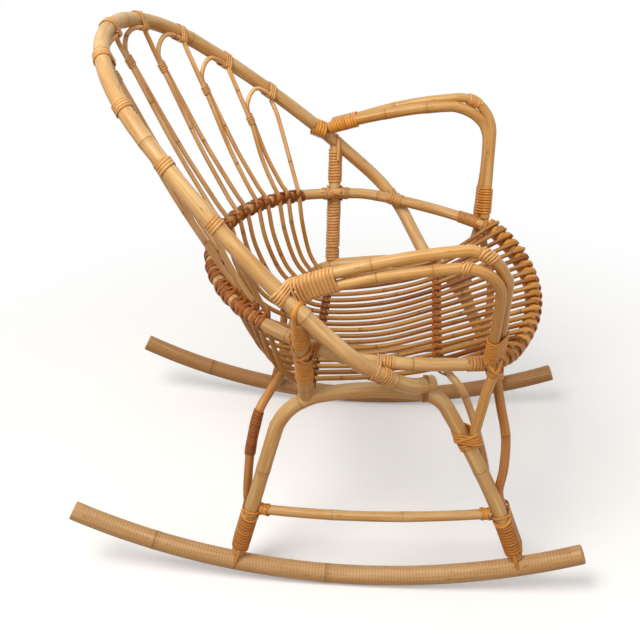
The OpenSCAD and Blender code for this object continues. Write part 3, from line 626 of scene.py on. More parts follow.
# The right arm sits lower at its rear, and its upper pole bends sooner, down against the lower one
sinkUpper = handBend(armOuterPoints, ([12, 13, 14, 15], [0, 3.5, 3.5, 1]),
                     ([0, 1, 5, 6, 7, 8, 10, 11, 12, 13, 14, 15],
                      [-11, 0, 0, 1.5, 5.4, 7.5, 9.5, 8, 5.5, 4.5, 2.5, 1]),
                     ([0, 1, 2, 3, 4, 5, 6, 8, 10, 13], [-12, -12, -9.5, -6.5, -4.5, -6, -6, -5, -3.5, 0]))
sinkLower = handBend(armInnerPoints, ([0], [0]), ([0, 1], [-11, 0]),
                     ([0, 1, 2, 3, 4, 6, 8, 10], [-12, -12, -9, -7.5, -5.5, -4, -2, 0]))
armOuterRight = smooth(armOuterPoints + sinkUpper)
armInnerRight = smooth(armInnerPoints + sinkLower)

# Legs under the seat: each stands beside the arch's leg at its foot
rearCross = {"thick": 14.6, "gap": 0.3, "nodes": [120, 205, 330, 470, 610, 780, 870], "stand": (8, 75),
             "bow": [(229, 174, 170), (225, 166, 240), (220, 157, 285), (209, 148, 316), (180, 135, 330),
                     (130, 120, 333), (65, 110, 331), (0, 108, 330)]}
frontCross = {"thick": 12.2, "nodes": [90, 350, 640],
              "bow": [(231, -235, 150), (228, -216, 195), (221, -204, 250), (210, -188, 305),
                      (190, -168, 350), (165, -146, 366), (125, -131, 369.5), (60, -128, 370),
                      (0, -128, 370)]}
brace = {"thick": 14.6, "nodes": [95, 235], "stand": (8, 80),
         "bow": [(236, -232, 188), (239, -236, 240), (238, -235, 300), (234, -224, 355), (229, -212, 414)]}
sideGap = 12 + 7.5 + rearCross["gap"]
rearSide = squareTo((-0.97, 0.24, 0), legUp)
foreSide = squareTo((-0.97, -0.24, 0), foreUp)
rearCrossHalf = [legFoot + s * legUp + sideGap * rearSide for s in rearCross["stand"]] + rearCross["bow"]
bracePoints = [foreFoot + s * foreUp + sideGap * foreSide for s in brace["stand"]] + brace["bow"]


def bothHalves(half):
    half = np.array(half, float)
    return smooth(np.vstack([half, flip(half[-2::-1])]))


rearCrossLine, foreCrossLine = bothHalves(rearCrossHalf), bothHalves(frontCross["bow"])
braceLine = smooth(bracePoints)

# Posts from the arch to the hoop; the left one starts lower, on its flatter arch
postPole = {"thick": 22.6, "nodes": [24], "low": [240.0, 70, 367], "high": [314.0, 66, 556], "end": 0.985,
            "leftStart": -0.1}
postLow, postHigh = np.array(postPole["low"]), np.array(postPole["high"])
postDir = unit(postHigh - postLow)

# Side stretcher: a shallow sag between the legs
stretcher = {"thick": 16.8, "nodes": [120, 235], "rearZ": 145, "foreZ": 158, "sag": 13.5, "trimRear": 12.2,
             "trimFore": 12.6}
stretchX = runner["side"] - arch["tuck"] * (stretcher["rearZ"] + stretcher["foreZ"]) / 2
rearY = footY - (stretcher["rearZ"] - footZ) * archSlope
stretchRear = np.array([stretchX, rearY, stretcher["rearZ"]])
lowA, lowB = archPoints[-3], archPoints[-2]
foreY = mix(lowA, lowB, (lowA[2] - stretcher["foreZ"]) / (lowA[2] - lowB[2]))[1]
stretchFore = np.array([stretchX, foreY, stretcher["foreZ"]])
stretchLine = np.array([mix(stretchRear, stretchFore, t) - [0, 0, stretcher["sag"] * 4 * t * (1 - t)]
                        for t in np.linspace(0, 1, 25)])
stretchTotal = lengthsOf(stretchLine)[-1]

# Fan canes: clear by a hair of the hoop above them and of the ring behind them
hang = hoop["round"] + fan["round"] + 0.3
crossIn = ring["round"] + fan["round"] + 0.8


def caneSide(m):
    if m == 0:
        return fan["pairAt"][0] - fan["pairHalf"][0]
    if m == 8:
        return fan["outer"]
    i = (m - 1) // 2
    return fan["pairAt"][i] + fan["pairHalf"][i] if m % 2 else fan["pairAt"][i + 1] - fan["pairHalf"][i + 1]


def caneAt(k):
    return caneSide(k - 9) if k > 8 else -caneSide(8 - k)


# Seat rows: distance between the canes, y, z in the middle, and how far they rise to the sides
seat = {"bar": (19.8, 70, 342, 6), "mid": (20.4, -30, 348, 12), "front": (21, -128, 380, 4),
        "edgePitch": 25.5, "overRing": 17.2}
tieHalf = 4.15  # half the distance between two canes that are tied together
middleCane = 8.5


def acrossOf(k):
    return (k - middleCane) / middleCane


def seatPt(k, row):
    pitch, y, z, rise = seat[row]
    return np.array([pitch * (k - middleCane), y, z + rise * acrossOf(k) ** 2])


def crossOut(k):
    q = ringBack(caneAt(k))
    inward, fore, rise = fan["facing"]
    return squareTo((-q[0] * inward, fore, rise), ringDir(caneAt(k)))


def crossPt(k):
    return ringBack(caneAt(k)) + (crossIn + fan["crossRise"] * acrossOf(k) ** 4) * crossOut(k)


def overRing(k, tilt):
    s = seat["edgePitch"] * (k - middleCane)
    out = np.cross(ringForeDir(s), ringUp)
    a = math.radians(tilt)
    return ringFore(s) + seat["overRing"] * (math.cos(a) * ringUp + math.sin(a) * out)


def tieMid(i):
    h = hoopAt((i - 3.5) * fan["pitch"], 0)
    return h + [-fan["tieIn"] * h[0], -fan["tieFore"], -fan["tieDrop"]]


# How a leg leaves the hoop, as shares of the way over to its tie and of the drop; the hook's drops are
# millimetres above the tie. From the ring round into the seat: shares of the way in x, y and z
legForm = {"even": ((0.45, 0.02), (0.82, 0.16), (1.0, 0.42), (1.0, 0.75)),
           "hook": ((0.33, 37), (0.66, 35), (0.93, 22), (1.0, 10)),
           "straight": ((0.2, 0.1), (0.4, 0.3), (0.72, 0.65)),
           "intoSeat": ((0.15, 0.1, 0.4), (0.35, 0.32, 0.78), (0.65, 0.66, 0.955)),
           "pastTie": 14, "overFront": (-32, 14)}


def legPoints(k, j):
    side = -1 if k % 2 == 0 else 1
    q, b = crossPt(k), seatPt(k, "bar")
    apex = hoopAt((j - 4) * fan["pitch"], hang)
    if k in (0, 17):  # the two outermost legs hang on their own, almost straight
        bow = [side * 6, 0, 2]
        t = mix(apex, q, 0.45) + bow
        back = [apex + [side * 5, 0, -13], mix(apex, q, 0.2) + bow, t, mix(t, q, 0.5), mix(t, q, 0.85), q]
    else:
        t = tieMid(j - 1 if side < 0 else j) - [side * tieHalf, 0, 0]
        down = unit(q - t)
        drop = np.dot(t - apex, down)
        over = (t - apex) - drop * down
        if side * (j - 4) < 0:  # the leg nearer the middle rounds over from the hoop like a hook
            back = [t + (x - 1) * over - y * down for x, y in legForm["hook"]]
        else:  # the other leg runs straight down from the hoop
            form = legForm["even" if j == 4 else "straight"]
            back = [apex + x * over + y * drop * down for x, y in form]
        back += [t, t + legForm["pastTie"] * down, mix(t, q, 0.5) + [0, 4, -1],
                 mix(t, q, 0.85) + [0, 2, 0], q]
    bends = [q + (b - q) * share for share in legForm["intoSeat"]]
    front = [overRing(k, tilt) for tilt in legForm["overFront"]]
    return back + bends + [b, seatPt(k, "mid"), seatPt(k, "front")] + front


def loopLine(j):
    crown = hoopAt((j - 4) * fan["pitch"], hang)
    return smooth(np.array(legPoints(2 * j, j)[::-1] + [crown] + legPoints(2 * j + 1, j)), 10)


print("lines ready")


def everyNode(total, gap, first, jitter=0.18, plainEnd=25):
    found, s = [], first
    while s < total - plainEnd:
        found.append(s)
        s += gap * (1 + random.uniform(-jitter, jitter))
    return found


# The same strands on the other side of the chair
def sided(strands):
    return [Strand(flip(s.points), s.radii, None if s.outward is None else flip(s.outward), s.press, s.closed,
                   s.mark, s.tone) for s in strands]


bothSides = (("right", sided), ("left", list))


# Runners: sawn kerfs across the upper half let the thick pole bend
def cutKerfs(block, strand):
    along = lengthsOf(strand.points)
    off = block - strand.points[:, None]
    size = np.linalg.norm(off, axis=2)
    facing = np.clip((off[:, :, 2] / size + runner["kerfFrom"]) / runner["kerfOver"], 0, 1)
    phase = (along / runner["kerfPitch"]) % 1.0
    depth = np.exp(-((phase - 0.5) * runner["kerfPitch"] / runner["kerfHalf"]) ** 2)
    keep = (along > runner["plainEnd"]) & (along < along[-1] - runner["plainEnd"])
    cut = runner["kerfDepth"] * depth[:, None] * facing * keep[:, None]
    block -= off / size[:, :, None] * cut[:, :, None]
    strand.kerf = (depth[:, None] * facing * keep[:, None])


def runnerStrand(side, tone):
    first = -math.asin(runner["front"] / runner["bend"])
    last = math.asin(runner["back"] / runner["bend"])
    count = int((last - first) * runner["bend"] / (runner["kerfPitch"] / 6))
    a = np.linspace(first, last, count)
    points = np.stack([np.full(count, side * runner["side"]), runner["bend"] * np.sin(a),
                       runner["bend"] * (1 - np.cos(a)) + runner["thick"] / 2], -1)
    along = lengthsOf(points)
    radii = np.full(count, runner["thick"] / 2)
    mark = np.zeros(count)
    for s in runner["nodes"]:
        d = along - s
        radii += (runner["swell"] * np.exp(-(d / runner["swellHalf"]) ** 2)
                  - runner["groove"] * np.exp(-(d / runner["grooveHalf"]) ** 2))
        mark += np.exp(-(d / runner["scarHalf"]) ** 2)
        mark += runner["shade"] * np.exp(-((d + runner["shadeAt"]) / runner["shadeHalf"]) ** 2)
    edge = np.minimum(along, along[-1] - along)
    radii = np.minimum(radii, runner["thick"] / 2 + runner["most"])
    radii -= runner["endRound"] * np.exp(-edge / runner["endHalf"])
    return Strand(points, radii, mark=np.clip(mark, 0, 1), tone=tone)


runnerSides = 32
# the left runner's deeper tone of 0.5 is painted shade; the right one's 0.05 is its own colour
for side, label, tone in ((-1, "right", 0.05), (1, "left", 0.5)):
    strand = runnerStrand(side, tone)
    piece = makePiece("runnerPole_" + label, [strand], runnerSides, ["runner_" + label],
                      skins["runner"], pith, cutKerfs)
    # the kerfs are darkened with the scar colour as well
    layer = piece.data.attributes["mark"]
    values = np.zeros(len(piece.data.vertices), np.float32)
    layer.data.foreach_get("value", values)
    count = len(strand.points) * runnerSides
    values[:count] = np.clip(values[:count] + (strand.kerf * runner["kerfDarkening"]).ravel(), 0, 1)
    layer.data.foreach_set("value", values)
    print("runner", label)


def addPole(name, line, size, node, skin, sides=24, closed=False, scar=1.0, tone=0.0, gap=7.0):
    strand = poleStrand(line, size["thick"], size["nodes"], gap, closed, scar, tone)
    return makePiece(name, [strand], sides, [node], skins[skin], pith)


addPole("backHoopPole", hoopLine, hoop, "back_hoop", "pole", 32)
addPole("seatRingPole", ringLine, ring, "seat_ring", "pole", 28, True, tone=0.1)
stretchCut = np.linspace(stretcher["trimRear"], stretchTotal - stretcher["trimFore"], 40)
leftLower = {"thick": armLower["thickLeft"], "nodes": armLower["nodes"]}
for label, turn, archPole, postStart, upper, lower, lowerSize in (
        ("right", flip, flip(smooth(archPoints)), 0, flip(armOuterRight), flip(armInnerRight), armLower),
        ("left", np.array, smooth(archPointsLeft), postPole["leftStart"], armOuterLeft, armInnerLeft,
         leftLower)):
    addPole("sideArchPole_" + label, archPole, arch, "side_arch_" + label, "pole", 28, tone=0.12)
    postShape = np.array([mix(postLow, postHigh, t) for t in np.linspace(postStart, postPole["end"], 30)])
    addPole("postPole_" + label, turn(postShape), postPole, "post_" + label, "pole")
    addPole("stretcherPole_" + label, turn(pointAt(stretchLine, stretchCut)), stretcher, "stretcher_" + label,
            "pole", 20, scar=0.45, tone=0.25)
    addPole("upperArmPole_" + label, upper, armUpper, "arm_outer_" + label, "arm")
    addPole("lowerArmPole_" + label, lower, lowerSize, "arm_inner_" + label, "arm", tone=0.1)
    addPole("frontBracePole_" + label, turn(braceLine), brace, "front_brace_" + label, "thin", 20)
print("poles ready")
addPole("rearCrossPole", rearCrossLine, rearCross, "rear_cross_arch", "thin", 20)
addPole("frontCrossPole", foreCrossLine, frontCross, "front_cross_arch", "pole", 20)

# Rear seat bar: it rises to the sides as the canes on it do
bar = {"thick": 10.8, "half": 186, "drop": 9.8, "riseOver": 168, "nodes": [60, 190, 320]}
barHalf = [(bar["half"] * k / 6, seat["bar"][1], seat["bar"][2] - bar["drop"]
            + seat["bar"][3] * (bar["half"] * k / 6 / bar["riseOver"]) ** 2) for k in range(-6, 7)]
addPole("rearSeatBarPole", smooth(barHalf), bar, "rear_seat_bar", "thin", 16)

for j in range(9):
    line = loopLine(j)
    tones = [random.choice((0.25, 0.45, 0.6, 0.75, 1.0)) + random.uniform(-0.1, 0.1) for _ in range(2)]
    start, end = tones
    ramp = [start, start, start * 0.8, 0.1, -0.2, -0.2, -0.2, -0.2, 0.1, end * 0.8, end, end]
    nodeAt = everyNode(lengthsOf(line)[-1], fan["nodeGap"], random.uniform(40, 190))
    addPole("fanLoop_%d" % (j + 1), line, {"thick": fan["thick"], "nodes": nodeAt}, "fan_loop_%d" % (j + 1),
            "cane", 14, tone=np.array(ramp), gap=9.0)
print("fan ready")

# Hoop bindings: four turns hold each loop's crown against the hoop
hoopBinding = {"turns": 3.7, "pitch": 4.4, "width": 4.3, "thick": 2.2, "slant": 1.2}
strands = []
for j in range(-4, 5):
    s = j * fan["pitch"]
    circles = [(hoopAt(s, 0), hoop["round"]), (hoopAt(s, hang), fan["round"])]
    strands.append(windPair(circles, hoopAt(s + 1, 0) - hoopAt(s - 1, 0), tone=random.uniform(-0.6, 0.0),
                            **hoopBinding))
makePiece("hoopBindingCane", strands, stripSides, ["hoop_bindings"], skins["pale"])

# Pair ties: barrels of four turns where two loops meet
pairTie = {"turns": 3.8, "pitch": 3.9, "width": 3.8, "thick": 2.0}
strands = []
for i in range(8):
    t = tieMid(i)
    q = (crossPt(2 * i + 1) + crossPt(2 * i + 2)) / 2
    circles = [(t - [tieHalf, 0, 0], fan["round"]), (t + [tieHalf, 0, 0], fan["round"] + 0.01)]
    strands.append(windPair(circles, q - t, tone=random.uniform(-0.4, 0.2), **pairTie))
makePiece("pairTieCane", strands, stripSides, ["pair_ties"], skins["pale"])

# Lumbar ring: a cross over every cane, with turns beside it, each (distance, slant)
lumbar = {"cross": {"bump": 8.4, "reach": 8.0, "width": 6.0, "thick": 2.4, "spread": 0.5},
          "turn": {"bump": 0.4, "width": 5.6, "thick": 2.2, "spread": 0.5},
          "beside": ((6.5, 2.5), (-6.5, -2.5), (11.5, 4.0))}
strands = []
for k in range(18):
    s = caneAt(k)
    strands += crossTie(ringBack(s), ringDir(s), crossOut(k), ring["round"], tone=random.uniform(-1, 0.6),
                        **lumbar["cross"])
    for shift, reach in lumbar["beside"]:
        strands.append(crossLoop(ringBack(s + shift), ringDir(s + shift), crossOut(k), ring["round"],
                                 reach=reach, tone=random.uniform(-0.8, 0.6), **lumbar["turn"]))
makePiece("lumbarLashingCane", strands, stripSides, ["ring_lashings"], skins["rust"])

# Seat bars: crossed strips make a plait along each bar
plait = {"radius": 5.5, "turn": {"turns": 1.5, "pitch": 3.4, "width": 3.6, "thick": 1.6},
         "rear": {"bump": 8.6, "reach": 7.5, "width": 4.2, "thick": 1.8, "spread": 0.72},
         "front": {"reach": 8.2, "width": 4.4, "thick": 1.8, "spread": 0.72}, "leastBump": 5.0, "bedded": 1.2,
         "turnBeside": 10.5}
strands = []
for k in range(18):
    b = seatPt(k, "bar")
    slope = unit(seatPt(min(k + 1, 17), "bar") - seatPt(max(k - 1, 0), "bar"))
    strands += crossTie(b - [0, 0, bar["drop"]], slope, (0, 0, 1), plait["radius"],
                        tone=random.uniform(-1, 0.6), **plait["rear"])
    if k < 17:
        between = (b + seatPt(k + 1, "bar")) / 2 - [0, 0, bar["drop"]]
        strands.append(windPair([(between, plait["radius"])], slope, **plait["turn"]))
makePiece("rearBarLashingCane", strands, stripSides, ["rear_bar_lashings"], skins["dark"])
strands = []
for k in range(1, 17):
    f = seatPt(k, "front")
    s = reachWhere(foreCrossLine, 0, f[0])
    onBar, slope = pointAt(foreCrossLine, s), dirAt(foreCrossLine, s)
    bump = max(plait["leastBump"], np.linalg.norm(f - onBar) - plait["bedded"])
    strands += crossTie(onBar, slope, f - onBar, plait["radius"], bump, tone=random.uniform(-1, 0.4),
                        **plait["front"])
    if 2 <= k < 15:
        between = pointAt(foreCrossLine, s + plait["turnBeside"])
        strands.append(windPair([(between, plait["radius"])], slope, **plait["turn"]))
makePiece("frontBarLashingCane", strands, stripSides, ["front_bar_lashings"], skins["rust"])

# Front edge: slanting strips close over the ring and the cane ends like a rope
edge = {"strip": {"radius": 10.3, "reach": 8.5, "width": 9.0, "thick": 2.6, "spread": 0.8, "perTurn": 30},
        "pitch": 12.75, "last": 19, "flat": 2.0, "proud": 6.5, "outward": 0.25}
strands = []
for m in range(-edge["last"], edge["last"] + 1):
    s = m * edge["pitch"]
    tangent = ringForeDir(s)
    facing = mix(ringUp, np.cross(tangent, ringUp), edge["outward"])
    bump = edge["flat"] if m % 2 else edge["proud"]
    strands.append(crossLoop(ringFore(s), tangent, facing, bump=bump, tone=random.uniform(-0.7, 0.7),
                             **edge["strip"]))
makePiece("frontEdgeCane", strands, stripSides, ["front_edge_wrap"], skins["wrap"])
print("lashings ready")

# Posts: wound nearly from end to end, a strap over the hoop, a cross where the ring passes
# Starts and stops are lengths along the post; the left post is longer at its foot
postWinding = {"cane": {"radius": 11.3, "pitch": 5.4, "width": 4.8, "thick": 2.5}, "above": (131, 190),
               "start": {"right": 46, "left": 8}, "stop": 99, "more": 0.095, "moreStart": 2, "overlap": 4,
               "skin": {"right": "wrap", "left": "pale"}}
postStrap = {"atY": 66, "off": 14.2, "width": 7.2, "press": 0.5, "down": (8, 20, 34), "corner": 0.3}
postCross = {"atY": 64, "radius": 12.2, "turns": ((0, 13), (0.9, -13), (0.4, 9), (1.2, -9)),
             "beside": (-25, 15),
             "strip": {"bump": 18.5, "width": 4.2, "thick": 1.9, "spread": 0.75, "tone": 0.2},
             "onRing": {"radius": 9.9, "pitch": 4.4, "width": 4.0, "thick": 1.8, "tone": 0.2}}
postLine = np.array([mix(postLow, postHigh, t) for t in np.linspace(0, 1, 40)])
hoopS = reachWhere(hoopLine, 1, postStrap["atY"])
crown = flip(pointAt(hoopLine, hoopS))
hoopRun = flip(dirAt(hoopLine, hoopS))
low, high = postWinding["above"]
post = [windAlong(postLine, start=low, stop=high, tone=0.1, **postWinding["cane"])]
across = unit(np.cross(hoopRun, postDir))
off = postStrap["off"]
over = np.linspace(postStrap["corner"], math.pi - postStrap["corner"], 7)
strap = [crown - postDir * d - across * off for d in postStrap["down"][::-1]]
strap += [crown + off * (-math.cos(a) * across + math.sin(a) * postDir) for a in over]
strap += [crown - postDir * d + across * off for d in postStrap["down"]]
strapLine = smooth(np.array(strap), 4)
strapOut = []
for p in strapLine - crown:
    if np.dot(p, postDir) < 0:  # beside the post the strap lies flat on its side
        strapOut.append(across * math.copysign(1, np.dot(p, across)))
    else:
        strapOut.append(squareTo(p - np.dot(p, hoopRun) * hoopRun, hoopRun))
post.append(Strand(strapLine, postStrap["width"] / 2, outward=np.array(strapOut), press=postStrap["press"],
                   tone=-0.2))
ringS = reachWhere(ringOpen, 1, postCross["atY"])
ringSpot = pointAt(ringOpen, ringS)
postSpot = postLow + postDir * np.dot(ringSpot - postLow, postDir)
for lift, reach in postCross["turns"]:
    post.append(crossLoop(postSpot, postDir, ringSpot - postSpot, postCross["radius"] + lift, reach=reach,
                          **postCross["strip"]))
for d in postCross["beside"]:
    post.append(windAlong(ringOpen, start=ringS + d, stop=ringS + d + 10, **postCross["onRing"]))
for label, turn in bothSides:
    start = postWinding["start"][label]
    group = [*post, windAlong(postLine, start=start, stop=postWinding["stop"], tone=0.0,
                              **postWinding["cane"])]
    if label == "left":
        more = postWinding["more"]
        below = np.array([mix(postLow, postHigh, t) for t in np.linspace(-more, 0.5, 30)])
        stop = more * np.linalg.norm(postHigh - postLow) + start - postWinding["overlap"]
        group.append(windAlong(below, start=postWinding["moreStart"], stop=stop, tone=0.0,
                               **postWinding["cane"]))
    makePiece("postWindingCane_" + label, turn(group), stripSides, ["post_wrap_" + label],
              skins[postWinding["skin"][label]])

# Feet: twelve turns round leg and second pole, a few crossed at the top as (slant, lift),
# and the tail pegged to the runner at (x, height) from the leg's foot
foot = {"cane": {"pitch": 5.8, "width": 5.2, "thick": 2.8, "slant": 0.8, "tone": 0.55, "phase": 0.6},
        "top": {"width": 4.4, "thick": 2.0, "tone": -0.1}, "crosses": ((3.0, 0.2), (-3.0, 1.0), (4.2, 1.5)),
        "leg": 12.3, "low": 12, "crossAbove": 4, "peg": ((13.2, 16), (15.6, 4), (16.6, -10), (16.9, -22)),
        "pegThick": (3.4, 2.1), "rear": {"turns": 12.5, "second": 8.0}, "front": {"turns": 12, "second": 8.6}}


def footStrands(place, up, side, turns, second):
    pitch = foot["cane"]["pitch"]
    first = place + (foot["low"] + turns * pitch / 2) * up
    found = [windPair([(first, foot["leg"]), (first + sideGap * side, second)], up, turns, **foot["cane"])]
    top = place + (foot["low"] + turns * pitch + foot["crossAbove"]) * up
    for slant, lift in foot["crosses"]:
        found.append(windPair([(top, foot["leg"] + lift), (top + sideGap * side, second + lift)], up, 1, 0,
                              slant=slant, closed=True, **foot["top"]))
    # the tail runs down the runner's outer face and ends in a dark tip
    line = smooth(np.array([place + [x, 0, 0] + z * up for x, z in foot["peg"]]), 6)
    radii = np.linspace(*foot["pegThick"], len(line))
    found.append(Strand(line, radii, mark=np.linspace(-0.2, 1, len(line)).clip(0, 1) ** 3, tone=0.1))
    return found


rearFoot = footStrands(legFoot, legUp, rearSide, **foot["rear"])
frontFoot = footStrands(foreFoot, foreUp, foreSide, **foot["front"])
for label, turn in bothSides:
    for place, group in (("rear", rearFoot), ("front", frontFoot)):
        makePiece(place + "FootWinding_" + label, turn(group), stripSides,
                  ["foot_wrap_%s_%s" % (place, label)], skins["wrap"])

# Stretcher ends: crossed strips with a few turns
stretcherTie = {"radius": 8.5, "fromEnd": 21, "facing": (1, 0, 0.2),
                "cross": {"bump": 0.6, "reach": 7.5, "width": 4.2, "thick": 1.8, "tone": 0.1},
                "turn": {"turns": 1.8, "pitch": 4.2, "width": 4.0, "thick": 1.6, "tone": 0.0}}
strands = []
for s in (stretcherTie["fromEnd"], stretchTotal - stretcherTie["fromEnd"]):
    c, d = pointAt(stretchLine, s), dirAt(stretchLine, s)
    strands += crossTie(c, d, stretcherTie["facing"], stretcherTie["radius"], **stretcherTie["cross"])
    strands.append(windPair([(c, stretcherTie["radius"])], d, **stretcherTie["turn"]))
makePiece("stretcherTieCane", strands + sided(strands), stripSides, ["stretcher_ties"], skins["wrap"])

# Rear cross arch: reddish windings on the upper part of each leg
crossLeg = {"from": 238, "to": 314,
            "cane": {"radius": 7.4, "pitch": 4.6, "width": 4.5, "thick": 1.9, "tone": 0.0}}
low, high = [reachWhere(rearCrossLine, 2, crossLeg[key]) for key in ("from", "to")]
strands = [windAlong(rearCrossLine, start=low, stop=high, **crossLeg["cane"])]
makePiece("crossLegWindingCane", strands + sided(strands), stripSides, ["cross_leg_wraps"],
          skins["red"])
print("leg windings ready")

# Arms: slanting turns tie both poles to the hoop, then upright turns bind them together
# Each slanting turn of the right arm is (place on the arm, place on the hoop)
armBind = {"cane": {"pitch": 5.3, "width": 5.2, "thick": 2.2, "tone": -0.2}, "upper": 8.7, "atY": 93,
           "back": 4, "sample": 8}
armTie = {"start": 14, "bound": 9.5, "lower": 8.4, "slide": 9, "width": 5.2, "press": 0.42, "overUpper": 10.2,
          "besideUpper": 10, "besideLower": 9.6, "underLower": 9.8, "shift": 2, "overHoop": 12.5,
          "behindHoop": 13.8, "behind": 4, "turns": ((6, 8), (11, 3), (16, -2), (21, -7))}
armTieLeft = {"start": -4, "bound": 9.25, "lower": 10.3, "hoop": 14.2, "lean": 0.5,
              "cane": {"turns": 4.6, "pitch": 5.3, "width": 5.2, "thick": 2.4, "tone": -0.2}}
hoopLeft = smooth(hoopHalf)
hoopTie = reachWhere(hoopLeft, 1, armBind["atY"])


def armTurns(upper, lower, tie):
    far = armBind["sample"]
    run = unit(unit(upper[far] - upper[0]) + unit(lower[far] - lower[0]))
    first = upper[0] + tie["start"] * run
    second = lower[0] + (tie["start"] - np.dot(lower[0] - upper[0], run)) * run
    middle = run * tie["bound"] * armBind["cane"]["pitch"] / 2
    circles = [(first + middle, armBind["upper"]), (second + middle, tie["lower"])]
    return run, first, second, [windPair(circles, run, tie["bound"], **armBind["cane"])]


run, first, second, found = armTurns(armOuterRight, armInnerRight, armTie)
side = np.array([1.0, 0, 0])
up = np.cross(run, side)
along = dirAt(hoopLeft, hoopTie + armTie["slide"])
hoopOut = squareTo(-run, along)
hoopUp = np.cross(along, hoopOut)
over = hoopUp * math.copysign(1, hoopUp[2]) * armTie["overHoop"]
behind = hoopOut * armTie["behind"]
shift = up * armTie["shift"]
for n, (u, w) in enumerate(armTie["turns"]):
    a1, a2 = [p + (u - armTie["start"]) * run for p in (first, second)]
    h = pointAt(hoopLeft, hoopTie + armTie["slide"] - w - armBind["back"])
    path = [a1 + up * armTie["overUpper"], a1 + side * armTie["besideUpper"] + shift,
            a2 + side * armTie["besideLower"] - shift, a2 - up * armTie["underLower"],
            h - over + behind, h + hoopOut * armTie["behindHoop"], h + over + behind]
    line = smooth(np.array(path), 6, closed=True)
    outs = np.array([unit(p - np.mean(path, axis=0)) for p in line])
    found.append(Strand(line, armTie["width"] / 2, outward=outs, press=armTie["press"], closed=True,
                        tone=-0.3 + 0.1 * n))
makePiece("armRearWinding_right", sided(found), stripSides, ["arm_rear_wrap_right"],
          skins["pale"])

# The left poles end side by side on the hoop, so its turns go round hoop and poles in one slanting plane
run, first, second, found = armTurns(armOuterLeft, armInnerLeft, armTieLeft)
along = dirAt(hoopLeft, hoopTie)
h = pointAt(hoopLeft, hoopTie - armBind["back"])
lean = unit(math.copysign(1, np.dot(along, run)) * along + armTieLeft["lean"] * run)
circles = [(h, armTieLeft["hoop"])]
for p, radius in ((first, armBind["upper"]), (second, armTieLeft["lower"])):
    circles.append((p + np.dot(h - p, lean) / np.dot(run, lean) * run, radius))
found.append(windPair(circles, lean, **armTieLeft["cane"]))
makePiece("armRearWinding_left", found, stripSides, ["arm_rear_wrap_left"], skins["wrap"])

# Front of the arms: thin bindings round both poles at the bend
armBend = {"upper": {"radius": 8.5, "pitch": 4.2, "width": 4.0, "thick": 2.0, "slant": 4.5, "tone": -0.3},
           "lower": {"radius": 8.0, "pitch": 3.6, "width": 3.3, "thick": 1.8, "slant": 3.0, "tone": -0.2},
           "upperAt": (-176, 22), "lowerAt": (-152, 11)}  # y of the start, and length
armSides = ((sided, armOuterRight, armInnerRight), (list, armOuterLeft, armInnerLeft))
strands = []
for turn, upper, lower in armSides:
    found = []
    for line, key in ((upper, "upper"), (lower, "lower")):
        y, length = armBend[key + "At"]
        spot = reachWhere(line, 1, y)
        found.append(windAlong(line, start=spot, stop=spot + length, **armBend[key]))
    strands += turn(found)
makePiece("armBendTieCane", strands, stripSides, ["arm_front_ties"], skins["pale"])

# Feet of the arms: fine turns on both poles, then a cross onto the ring as (slant, lift)
armFoot = {"cane": {"turns": 9.5, "pitch": 5.0, "width": 4.5, "thick": 2.5, "tone": 0.1},
           "cross": {"bump": 19, "width": 4.2, "thick": 2.3, "spread": 0.8, "tone": 0.2},
           "crosses": ((15, 0), (-15, 1), (10, 0.5), (-9, 1.4)), "turnZ": 476, "crossZ": 433, "ringY": -208,
           "upper": 8.6, "lower": 8.3, "radius": 8.2, "axis": (0.05, 0.1, 1)}
strands = []
armDown = unit(armOuterPoints[-2] - armOuterPoints[-1])
ringNear = pointAt(ringOpen, reachWhere(ringOpen, 1, armFoot["ringY"]))
for turn, upper, lower in armSides:
    upper, lower = upper[::-1], lower[::-1]
    a, b = [pointAt(line, reachWhere(line, 2, armFoot["turnZ"])) for line in (upper, lower)]
    found = [windPair([(a, armFoot["upper"]), (b, armFoot["lower"])], armDown, **armFoot["cane"])]
    inner = pointAt(lower, reachWhere(lower, 2, armFoot["crossZ"]))
    for reach, lift in armFoot["crosses"]:
        found.append(crossLoop(inner, armFoot["axis"], ringNear - inner, armFoot["radius"] + lift,
                               reach=reach, **armFoot["cross"]))
    strands += turn(found)
makePiece("armFootWindingCane", strands, stripSides, ["arm_foot_wraps"], skins["wrap"])

# Arm tails: four turns and a slanting one onto the arch's front leg, and a few on the leg alone
armTail = {"z": 304, "leg": 12.3, "tail": 8.2, "slantLeg": 13.4, "slantTail": 9.4,
           "turn": {"turns": 4.2, "pitch": 5.0, "width": 4.6, "thick": 2.5, "slant": 1.4, "tone": 0.1},
           "slant": {"turns": 1, "pitch": 0, "width": 4.4, "thick": 2.2, "slant": -4.0, "tone": 0.0},
           "alone": {"radius": 12.1, "pitch": 4.8, "width": 4.4, "thick": 2.4, "tone": 0.1},
           "aloneFrom": 12, "aloneTo": 26}
legS, tailS = reachWhere(foreHalf, 2, armTail["z"]), reachWhere(armInnerLine[::-1], 2, armTail["z"])
legSpot, tailSpot = pointAt(foreHalf, legS), pointAt(armInnerLine[::-1], tailS)
axis = dirAt(foreHalf, legS) + unit(np.array(armLower["tail"][-1]) - armLower["tail"][-2])
strands = [windPair([(legSpot, armTail["leg"]), (tailSpot, armTail["tail"])], axis, **armTail["turn"]),
           windPair([(legSpot, armTail["slantLeg"]), (tailSpot, armTail["slantTail"])], axis, closed=True,
                    **armTail["slant"]),
           windAlong(smooth(foreHalf), start=legS + armTail["aloneFrom"], stop=legS + armTail["aloneTo"],
                     **armTail["alone"])]
makePiece("armTailTieCane", strands + sided(strands), stripSides, ["arm_leg_ties"], skins["wrap"])

